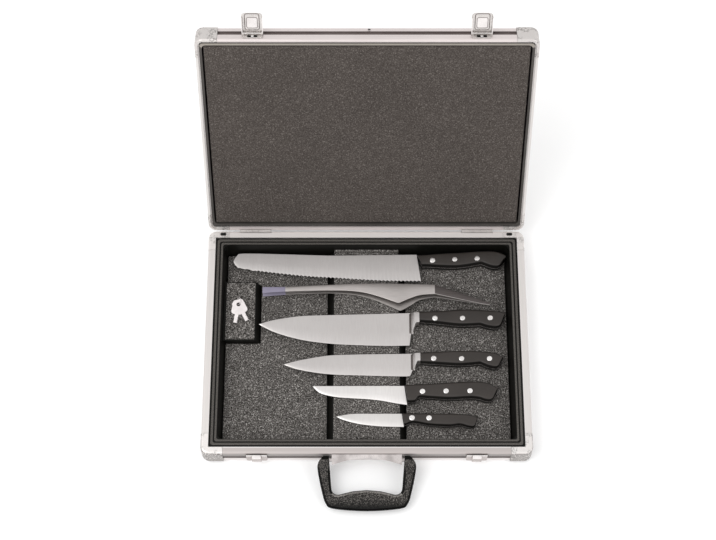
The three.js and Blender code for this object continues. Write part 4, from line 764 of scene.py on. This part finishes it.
def bladeSections(knife):
    length, depth = knife["length"] * mm, knife["depth"] * mm
    spine = smoothLine([(0, 0)] + [(-x * length, -y * depth) for x, y in knife["spine"]])
    edge = smoothLine([(-x * length, -y * depth) for x, y in knife["edge"]])
    teeth = round(length / (knife["pitch"] * mm)) if "pitch" in knife else 0
    count = teeth * knifeLook["stepsPerTooth"] if teeth else knifeLook["bladeSteps"]
    tip, tipSteps = knifeLook["tipShare"], knifeLook["tipSteps"]
    places = [length * (1 - math.cos(math.pi / 2 * i / tipSteps)) * tip for i in range(tipSteps)]
    places += [length * (tip + (1 - tip) * i / count) for i in range(count + 1)]
    front = bolsterSpan(knife)[0] if "bolster" in knife else 0
    if front:  # the blade runs on into its bolster
        places += [length + front * i / 4 for i in (1, 2, 3, 4)] + [length + front + 3 * mm]
    sections = []
    for place in places:
        x = place - length
        top, bottom = heightAt(spine, min(x, 0)), heightAt(edge, min(x, 0))
        sharp = 1
        if front:
            sharp = 1 - eased(x / front)
            bottom += depth * (1 - knife["bolsterDepths"][0]) * (1 - sharp)
        # The blade grows thinner towards its tip
        thin = knifeLook["tipThickness"]
        half = knifeLook["spineHalf"] * (thin + (1 - thin) * eased(place / (length * knifeLook["thinOver"])))
        wave = abs(math.sin(math.pi * place / (knife["pitch"] * mm))) if teeth else 0
        tooth = wave * knife.get("toothDepth", 0) * mm * eased(place / knifeLook["toothFade"])
        deep = max(0.00004, top - bottom)
        bevel = min(knife["bevel"] * mm + tooth, deep * 0.4)
        edgeHalf = half + (knifeLook["edgeHalf"] - half) * sharp
        bevelHalf = half + (min(half, knifeLook["bevelHalf"]) - half) * sharp
        row = [
            (top, half * 0.8), (top - min(knifeLook["spineRound"], deep * 0.1), half),
            (top - (deep - bevel) * 0.6, half * 0.86 + bevelHalf * 0.14),
            (bottom + bevel, bevelHalf), (bottom + min(tooth, deep * 0.3), edgeHalf),
        ]
        lean = knife.get("slant", 0) * mm * eased(x / knifeLook["slantReach"] + 1) / depth
        points = [Vector((x - lean * (depth + y), y, z)) for y, z in row]
        sections.append(points + [Vector((point.x, point.y, -point.z)) for point in reversed(points)])
    return sections


def bolsterSections(knife):
    depth = knife["depth"] * mm
    front, back = bolsterSpan(knife)
    start = front - knifeLook["bolsterLead"]
    frontDepth, backDepth = (share * depth for share in knife["bolsterDepths"])
    sections = []
    for i in range(knifeLook["bolsterBands"] + 1):
        along = i / knifeLook["bolsterBands"]
        x = start + (back - start) * along
        swell = eased((along - 0.05) / 0.5)
        half = knifeLook["spineHalf"] + (knife["bolsterHalf"] * mm - knifeLook["spineHalf"]) * swell
        low = -frontDepth + (frontDepth - backDepth) * eased((x - front) / ((back - front) * 0.75))
        sections.append(roundedSection(x, 0, low, half, knifeLook["bolsterRound"], 4))
    return sections


def handleLines(knife):
    def at(share):
        along = knife["handleStart"] + share[0] * knife["handleLength"]
        return Vector((along * mm, (-knife.get("drop", 0) - share[1] * knife["handleDepth"]) * mm))

    top = smoothLine([at((0, 0))] + [at(share) for share in knife["top"]])
    belly = smoothLine([at(share) for share in knife["belly"]])
    last, beak, butt = belly[-1], at(knife["beak"]), top[-1]
    rise = beak.lerp(butt, 0.4)
    curve = [last.lerp(beak, t / 10).lerp(beak.lerp(rise, t / 10), t / 10) for t in range(1, 11)]
    return top, belly + curve + [butt], at


def handleSections(knife, half, grown=0.0):
    top, bottom, at = handleLines(knife)
    start, end = top[0].x, top[-1].x
    length = end - start
    butt, gripSteps, buttSteps = knifeLook["buttFrom"], knifeLook["gripSteps"], knifeLook["buttSteps"]
    places = [start + length * butt * i / gripSteps for i in range(gripSteps + 1)]
    turns = [math.sin(math.pi / 2 * i / buttSteps) for i in range(1, buttSteps + 1)]
    places += [start + length * (butt + (1 - butt) * turn) for turn in turns]
    narrowFrom, frontSwell = knifeLook["narrowFrom"], knifeLook["frontSwell"]
    sections = []
    for x in places:
        share = (x - start) / length
        narrow = 1 - knifeLook["buttNarrowing"] * eased((share - narrowFrom) / (1 - narrowFrom))
        swell = frontSwell + (1 - frontSwell) * eased(share / knifeLook["swellOver"])
        upper, lower = heightAt(top, x) + grown, heightAt(bottom, x) - grown
        section = roundedSection(x, upper, lower, half * narrow * swell, knifeLook["handleRound"])
        back, front = knife.get("handleFront", (0, 0))  # its front leans back along the blade's heel
        for point in section:
            down = (upper - point.y) / max(upper - lower, 0.00001)
            point.x += (back + (front - back) * down) * mm * max(0, 1 - share / knifeLook["leanOver"])
        sections.append(section)
    return sections, at


# Closed skins at the knife's place, each with the looks of its bands
def addSkins(knife, skins):
    build = bmesh.new()
    for sections, slots in skins:
        addLoft(build, sections, slots)
    bmesh.ops.translate(build, verts=build.verts, vec=knifeOrigin(knife))
    return build


for name, knife in knives.items():
    skins = [(bladeSections(knife), None)]
    if "bolster" in knife:  # its front step is in shade
        shaded = [i < knifeLook["shadedBands"] for i in range(knifeLook["bolsterBands"])]
        skins.append((bolsterSections(knife), shaded))
    bladeLooks = [knife.get("look", "blade"), "shadedStep"]
    blade = addPiece(f"{name}_steel", addSkins(knife, skins), bladeLooks, name, 24)
    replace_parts(blade, f"{name}_blade")

    half = knife["thickness"] * mm / 2
    sections, at = handleSections(knife, half)
    build = addSkins(knife, [(sections, None)])
    # Painted shade: the handle's side faces take a darker look than its flat faces
    for face in build.faces:
        face.material_index = 0 if abs(face.normal.z) > knifeLook["flatFrom"] else 1
    scales = addPiece(f"{name}_scales", build, ["grip", "gripEdgeShade"], name, 50)
    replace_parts(scales, f"{name}_handle")

    sections = handleSections(knife, knifeLook["tangHalf"], knifeLook["tangProud"])[0]
    addPiece(f"{name}_tang", addSkins(knife, [(sections, None)]), ["fitting"], name, 50)

    build = bmesh.new()
    radius, proud = knifeLook["rivetRadius"], knifeLook["rivetProud"]
    profile = [(radius, -0.6 * mm), (radius, 0), (radius * 0.93, proud * 0.6)]
    profile += [(radius * 0.6, proud), (radius * 0.2, proud)]
    for share in knife["rivets"]:
        spot = at(share)
        for flip in (-1, 1):
            addTurned(build, profile, knifeOrigin(knife) + Vector((spot.x, spot.y, flip * half * 0.985)), flip)
    addPiece(f"{name}_rivets", build, ["rivet"], name)
print("knives made")

# Kitchen tweezers: two thin arms that meet at the tail, the upper one with sleeved tips
tweezersShape = {
    "half": 0.8 * mm, "round": 0.55 * mm, "upperZ": 26.85 * mm, "tailZ": 18.55 * mm, "lowerZ": 16.6 * mm,
    "fold": 92 * mm, "tailStart": 154 * mm, "sleeveEnd": -109 * mm,
    "upperTop": [(-139.6, 78.2), (-110, 78.4), (-76, 80.2), (-47, 81.6), (-20, 82.9), (22, 83.4), (92, 81.8)],
    "upperLow": [
        (-139.6, 69.4), (-110, 71.5), (-76, 72.8), (-44, 73.1), (-22, 72.5), (-3, 70), (16, 64.6), (43, 54.6),
    ],
    "upperRise": [(43, 54.6), (50, 58), (58, 61.6), (72, 66.4), (92, 68)],
    "lowerTop": [(-139.6, 78.2), (-76, 80.2), (-20, 82.6), (22, 83), (92, 81.4)],
    "lowerLow": [
        (-139.6, 69), (-110, 71.4), (-76, 73), (-45, 73.4), (-18, 71.3), (7, 65.1), (31, 54.4), (45.4, 47.6),
    ],
    "lowerRise": [(45.4, 47.6), (52, 51), (60, 56), (72, 63.6), (92, 67.6)],
    "tailEnd": (166, 59.4, 55.2), "lip": 0.7 * mm,
}


def tweezerArm(name, top, low, rise, upper):
    shape = tweezersShape
    tailX, tailHigh, tailLow = shape["tailEnd"]
    topLine = [Vector(point) * mm for point in smoothLine(shape[top])] + [Vector((tailX, tailHigh)) * mm]
    lowLine = [Vector(point) * mm for point in smoothLine(shape[low])]
    lowLine += [Vector(point) * mm for point in smoothLine(shape[rise])] + [Vector((tailX, tailLow)) * mm]
    start, end = topLine[0].x, topLine[-1].x
    places = sorted({start + (end - start) * i / 150 for i in range(151)} | {lowLine[-2].x, shape["sleeveEnd"]})
    sections = []
    for x in places:
        level = shape["lowerZ"]
        if upper:
            down = max(0, min(1, (x - shape["fold"]) / (shape["tailStart"] - shape["fold"])))
            level = shape["upperZ"] + (shape["tailZ"] - shape["upperZ"]) * down
        section = roundedSection(x, heightAt(topLine, x), heightAt(lowLine, x), shape["half"], shape["round"], 3)
        sections.append([point + Vector((0, 0, level)) for point in section])
    build = bmesh.new()
    addLoft(build, sections)
    for face in build.faces:
        middle = face.calc_center_median()
        if middle.x < shape["sleeveEnd"]:
            face.material_index = 1
        # Painted light: past the fold the upper arm's tail takes a painted shade, except a thin band along its
        # lower edge that keeps the arm's brighter look as a painted highlight
        elif upper and middle.x > shape["fold"] and face.normal.z > -0.5:
            tall = heightAt(topLine, middle.x) - heightAt(lowLine, middle.x)
            isLip = middle.y < heightAt(lowLine, middle.x) + min(shape["lip"], tall * 0.3)
            face.material_index = 0 if isLip else 2
    # The lower arm is a shaded copy: its darker steel is painted shade
    lookNames = ["tweezers" if upper else "shadedUnderArm", "tips", "tail"]
    return addPiece(name, build, lookNames, "tweezers_arm" if upper else "tweezers")


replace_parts(tweezerArm("tweezers_arm_below", "lowerTop", "lowerLow", "lowerRise", False), "tweezers_lower_arm")
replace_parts(tweezerArm("tweezers_arm_above", "upperTop", "upperLow", "upperRise", True), "tweezers_upper_arm")
print("tweezers made")


# Plates: rounded rectangles one inside the other, each with its inset and height
def roundedRing(width, length, radius, inset, arcSteps=5):
    halfX, halfY = width / 2 - inset, length / 2 - inset
    bend = max(0.15 * mm, min(radius - inset, halfX * 0.98, halfY * 0.98))
    return roundedOutline(halfX, halfY, bend, bend, arcSteps)


# Two looks mean that the outer bands of a plate take the second one
def addPlate(name, size, profile, place, lookNames, body, smoothAngle=30):
    build = bmesh.new()
    sections = [[place(x, y, height) for x, y in roundedRing(*size, inset)] for inset, height in profile]
    addLoft(build, sections, [i < 2 for i in range(len(profile) - 1)] if len(lookNames) > 1 else None)
    addPiece(name, build, lookNames, body, smoothAngle)


latchMiddle = 142 * mm

# Hasps stand up from the lid's front edge and show their inner side, with pressed frames
haspTilt = Matrix.Rotation(openAngle, 3, "X")
haspUp, haspOut = haspTilt @ Vector((0, -1, 0)), haspTilt @ Vector((0, 0, 1))
haspSizes = {
    "floorOut": 2.2 * mm, "halfInside": 12.25 * mm, "frameMiddle": 15.7 * mm, "edge": 0.35 * mm,
    "skirt": 0.05 * mm, "sideways": 0.7, "inwards": 0.9,
    "frame": (17.4 * mm, 23.5 * mm, 3 * mm), "frameHeight": 0.65 * mm,
    "panelMiddle": 14.6 * mm, "panel": (12.6 * mm, 15 * mm, 2 * mm), "panelHeight": 0.95 * mm,
}


# Insets and heights from a dark skirt of painted shade up to the raised face
def raisedProfile(base, top):
    edge, skirt = haspSizes["edge"], base + haspSizes["skirt"]
    return [
        (-2.2 * edge, base), (-2 * edge, base + 0.04 * mm), (0, skirt), (0.6 * edge, top - edge / 2),
        (1.6 * edge, top), (3 * edge, top),
    ]


for joint in frame["joints"]:
    if not joint["name"].startswith("hasp_"):
        continue
    hasp, pivot = joint["name"].rsplit("_", 1)[0], Vector(joint["pos_m"])
    # Painted shade on the hasp's inner side walls, and a painted highlight on its flange end faces
    paintFaces(
        hasp, "groove",
        lambda point, normal: abs(normal.x) > haspSizes["sideways"]
        and abs(point.x - pivot.x) < haspSizes["halfInside"],
    )
    paintFaces(
        hasp, "polishedAndHighlit",
        lambda point, normal: normal.dot(haspOut) < -haspSizes["inwards"] and (point - pivot).dot(haspOut) < 0,
    )
    for part, base, top, looked in (
        ("frame", 0, haspSizes["frameHeight"], "fitting"),
        ("panel", haspSizes["frameHeight"], haspSizes["panelHeight"], "polishedAndHighlit"),
    ):
        middle = haspSizes[f"{part}Middle"]
        addPlate(
            f"{hasp}_pressed_{part}", haspSizes[part], raisedProfile(base, top),
            lambda x, y, height: pivot + Vector((x, 0, 0)) + haspUp * (middle + y)
            + haspOut * (haspSizes["floorOut"] - height),
            [looked, "groove"], hasp,
        )

# Under each hasp the mount has a slot, drawn as a thin dark plate of painted shade, with a bright rivet head
mountSizes = {
    "slot": (12.5 * mm, 4.6 * mm, 1.0 * mm), "face": -160.15 * mm, "level": 39.5 * mm, "head": 1.7 * mm,
    "slotProfile": [(0, 0), (0, 0.08 * mm), (0.15 * mm, 0.12 * mm)],
    "headProfile": [(0, 0), (0, 0.4 * mm), (0.4 * mm, 0.8 * mm), (0.9 * mm, 0.95 * mm)],
}
for side, sign in (("left", -1), ("right", 1)):
    def mountPlace(x, y, height):
        spot = (sign * latchMiddle + x, mountSizes["face"] - height, mountSizes["level"] + y)
        return lidOpening @ Vector(spot)

    mount, head = f"latch_mount_{side}", mountSizes["head"]
    addPlate(f"{mount}_slot", mountSizes["slot"], mountSizes["slotProfile"], mountPlace, ["gapShade"], "lid")
    headSize = (2.4 * head, 2 * head, head)
    addPlate(f"{mount}_rivet", headSize, mountSizes["headProfile"], mountPlace, ["rivet"], "lid", 40)

# A small notch in the middle of the lid's front wall, drawn as a thin dark plate of painted shade
notchSizes = {
    "size": (3.2 * mm, 2.4 * mm, 0.8 * mm), "x": 2.6 * mm, "face": -159.05 * mm, "level": 55.2 * mm,
    "profile": [(0, 0), (0, 0.05 * mm), (0.1 * mm, 0.08 * mm)],
}
addPlate(
    "lid_front_notch", notchSizes["size"], notchSizes["profile"],
    lambda x, y, h: lidOpening @ Vector((notchSizes["x"] + x, notchSizes["face"] - h, notchSizes["level"] + y)),
    ["gapShade"], "lid",
)

# Catches on the front: a winged strip and a square nose, polished and brightened by a painted highlight, with
# painted shade in the gaps round them
catchSizes = {
    "face": -160.45 * mm, "skirt": -0.7 * mm, "edge": 0.4 * mm,
    "wing": (27.4 * mm, 4.4 * mm, 1.2 * mm), "wingLevel": 29.9 * mm, "wingReach": 0.25 * mm,
    "nose": (11.6 * mm, 10.4 * mm, 1.4 * mm), "noseLevel": 27.4 * mm, "noseReach": 2.8 * mm,
}
for side, sign in (("left", -1), ("right", 1)):
    for part in ("wing", "nose"):
        level, top, skirt = catchSizes[f"{part}Level"], catchSizes[f"{part}Reach"], catchSizes["skirt"]
        edge = min(catchSizes["edge"], top / 3)
        addPlate(
            f"catch_{side}_{part}", catchSizes[part],
            [(skirt, 0), (skirt, 0.05 * mm), (0, 0.08 * mm), (0, top - edge), (edge, top), (1 * mm, top)],
            lambda x, y, height: Vector((sign * latchMiddle + x, catchSizes["face"] - height, level + y)),
            ["polishedAndHighlit", "gapShade"], "base",
        )
print("fittings made")

# Camera where the photograph was taken
camera = {"lens": 86.4, "place": (-0.0113, -0.8632, 2.1385), "tilt": 24.6}
cameraObject = addObject("camera", bpy.data.cameras.new("camera"))
cameraObject.data.lens = camera["lens"]
cameraObject.data.sensor_width = 36  # millimetres
cameraObject.location = camera["place"]
cameraObject.rotation_euler = (math.radians(camera["tilt"]), 0, 0)
bpy.context.scene.camera = cameraObject

# Floor, light tent and soft lamps
stageLook = {
    "floorSize": 14.0, "floorZ": -0.6 * mm, "floorShade": (0.93, 0.93, 0.93, 1), "floorGlow": 0.1, "sky": 0.9,
    "lamps": {
        "keyLamp": {"place": (-1.2, -0.6, 2.4), "target": (0, 0, 0), "size": 1.6, "power": 26},
        "fillLamp": {"place": (1.6, -1.2, 1.8), "target": (0, 0, 0.1), "size": 1.6, "power": 10},
    },
}
floorMesh = bpy.data.meshes.new("floor")
build = bmesh.new()
bmesh.ops.create_grid(build, x_segments=1, y_segments=1, size=stageLook["floorSize"] / 2)
build.to_mesh(floorMesh)
build.free()
floor = addObject("floor", floorMesh)
floor.location.z = stageLook["floorZ"]
floorMaterial = startMaterial("paleFloor", {
    "Base Color": stageLook["floorShade"], "Roughness": 0.9, "Specular IOR Level": 0.1,
    "Emission Color": (1, 1, 1, 1), "Emission Strength": stageLook["floorGlow"],  # table lit from below
})[0]
floor.data.materials.append(floorMaterial)

world = bpy.data.worlds.new("lightTent")
bpy.context.scene.world = world
world.use_nodes = True
feedAll(world.node_tree.nodes["Background"], {"Color": (1, 1, 1, 1), "Strength": stageLook["sky"]})

for name, lamp in stageLook["lamps"].items():
    light = bpy.data.lights.new(name, "AREA")
    light.size = lamp["size"]
    light.energy = lamp["power"]
    thing = addObject(name, light)
    thing.location = lamp["place"]
    aim = Vector(lamp["target"]) - Vector(lamp["place"])
    thing.rotation_euler = aim.to_track_quat("-Z", "Y").to_euler()
bpy.context.scene.view_settings.view_transform = "Standard"
print("stage set")
